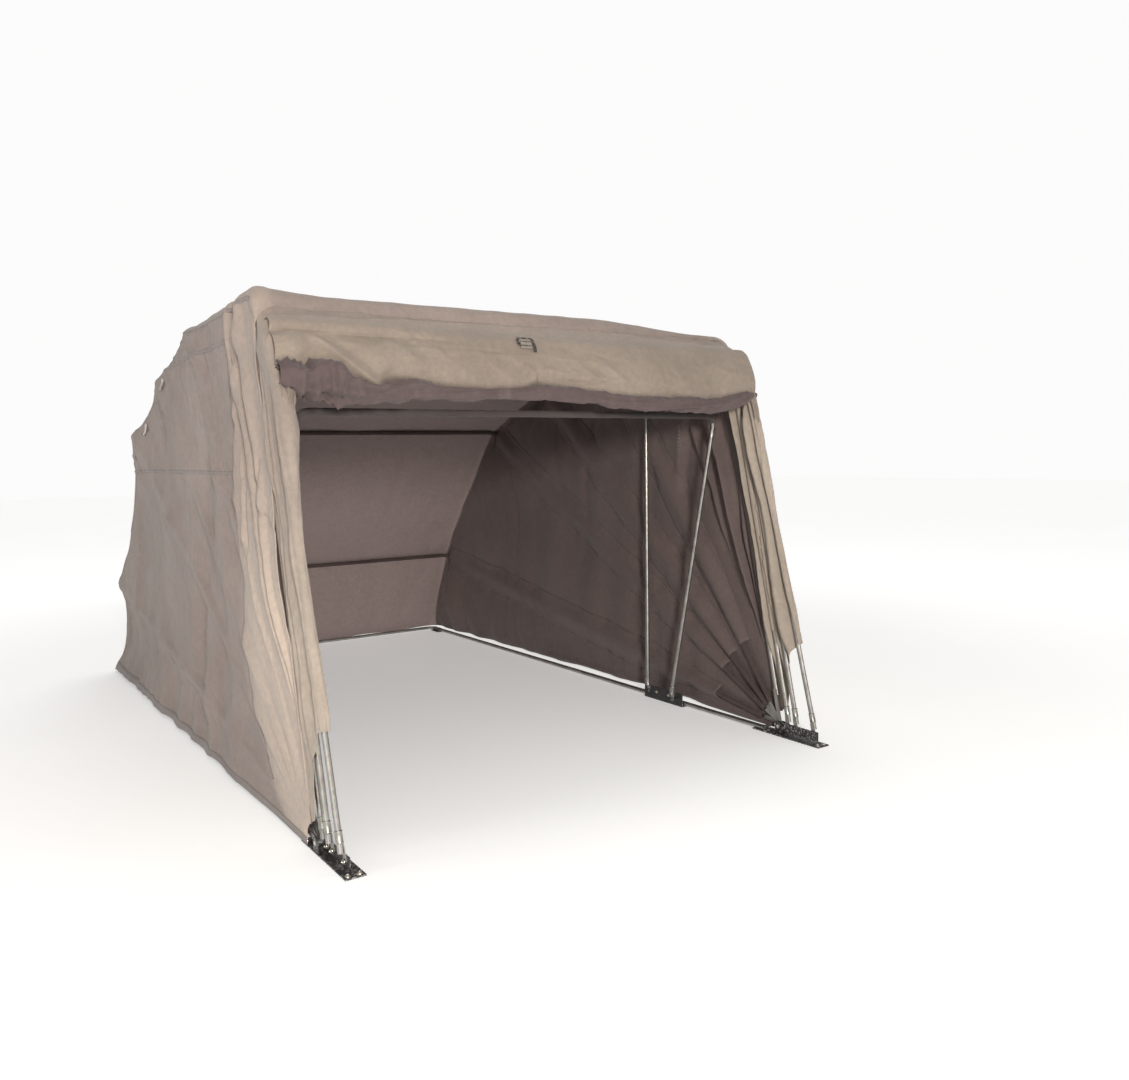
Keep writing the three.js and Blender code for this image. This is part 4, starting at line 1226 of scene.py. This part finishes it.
def build_hardware():
    plate_top, head_x, flange_x = 0.006, 1.2797, 1.2140
    anchors = [((s * x, y, plate_top), (0, 0, 1))
               for s in (-1, 1) for x, y in ((1.240, -0.014), (1.286, -0.014), (1.286, 0.398))]
    bolts("anchor_bolts", "ground_frame", anchors)
    nuts = [((s * head_x, BOWS[n][0], PIVOT_Z), (s, 0, 0)) for s in (-1, 1) for n in FRONT_BOWS]
    bolts("pivot_nuts", "ridge_bow", nuts, 0.0072)
    plate = [((s * flange_x, y, 0.050), (-s, 0, 0)) for s in (-1, 1) for y in (1.105, 1.215)]
    bolts("stand_plate_bolts", "ground_frame", plate, 0.0070)
    for name in FRONT_BOWS:
        py, y, z = BOWS[name]
        feet = [[leg_point((py, PIVOT_Z), (y, z), s * LEG_X, along) for along in (0.066, 0.115)]
                for s in (-1, 1)]
        collars(name + "_ferrules", name, feet)
    for name, (py, y, z, post) in (("brace_stand", STAND[:4]), ("roof_stand", (1.285, 1.285, 2.080, 1.2005))):
        R = math.hypot(y - py, z - STAND[4])
        feet = [[leg_point((py, STAND[4]), (y, z), s * post, along) for along in (a, a + 0.055)]
                for s in (-1, 1) for a in (0.031, R - ELBOW - 0.060)]
        collars(name + "_collars", name, feet, 0.0142)
    # saddle clamps that hold the stand plates and the rear feet to the ground rails
    parts = []
    for s in (-1, 1):
        for y in (1.065, 1.250, 4.135, 4.205):
            turn = np.radians(np.linspace(-62, 242, 34))
            rows = []
            for off, r in ((-0.011, 0.0129), (-0.011, 0.0148), (0.011, 0.0148), (0.011, 0.0129),
                           (-0.011, 0.0129)):
                x, z = s * RAIL_X + r * np.cos(turn), RAIL_Z + r * np.sin(turn)
                rows.append(np.stack([x, np.full(34, y + off), z], 1))
            parts.append(grid_mesh("clamp_part", np.array(rows), mats=(BLACK,)))
    clamps = joined("rail_clamps", parts)
    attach(clamps, "ground_frame")


build_hardware()


# ---------------------------------------------------------------- finishes of the carried-over parts
for name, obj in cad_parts.items():
    if name.startswith(("base_bracket", "pivot_carrier", "stand_plate", "rear_foot")):
        mat = BLACK
    elif name.startswith("main_pin"):
        mat = ZINC
    else:
        mat = TUBE
    obj.data.materials.clear()
    obj.data.materials.append(mat)


# ---------------------------------------------------------------- floor and light
def make_stage():
    mesh = bpy.data.meshes.new("floor")
    corners = ((-40, -40), (40, -40), (40, 40), (-40, 40))
    mesh.from_pydata([(x, y, -0.001) for x, y in corners], [], [(0, 1, 2, 3)])
    mesh.materials.append(plain_material("floor_paint", (0.86, 0.86, 0.855), 0.9))
    floor = bpy.data.objects.new("floor", mesh)
    bpy.context.scene.collection.objects.link(floor)

    world = bpy.data.worlds.new("studio")
    bpy.context.scene.world = world
    world.use_nodes = True
    nt = world.node_tree
    soft = nt.nodes["Background"]
    soft.inputs["Color"].default_value = (1.0, 0.995, 0.985, 1)
    soft.inputs["Strength"].default_value = 0.43
    seen = node(nt, "ShaderNodeBackground", Color=(0.97, 0.97, 0.968, 1), Strength=1.0)
    path = node(nt, "ShaderNodeLightPath")
    choose = node(nt, "ShaderNodeMixShader")
    nt.links.new(path.outputs["Is Camera Ray"], choose.inputs[0])
    nt.links.new(soft.outputs[0], choose.inputs[1])
    nt.links.new(seen.outputs[0], choose.inputs[2])
    nt.links.new(choose.outputs[0], nt.nodes["World Output"].inputs[0])

    def area(name, loc, target, size, power, colour=(1, 1, 1)):
        data = bpy.data.lights.new(name, "AREA")
        data.shape, data.size, data.energy, data.color = "DISK", size, power, colour
        o = bpy.data.objects.new(name, data)
        bpy.context.scene.collection.objects.link(o)
        o.location = loc
        o.rotation_mode = "QUATERNION"
        o.rotation_quaternion = (Vector(target) - Vector(loc)).to_track_quat("-Z", "Y")

    area("key", (-3.0, -8.2, 2.5), (-0.8, -1.0, 1.0), 1.1, 500, (1.0, 0.955, 0.89))
    area("fill", (-8.5, -0.5, 3.0), (-1.0, 0.2, 1.0), 2.5, 95, (0.96, 0.97, 1.0))
    area("top", (1.5, 1.0, 8.0), (0, 0, 1.5), 5.0, 150, (1.0, 0.98, 0.95))


make_stage()
bpy.context.scene.view_settings.view_transform = "Standard"
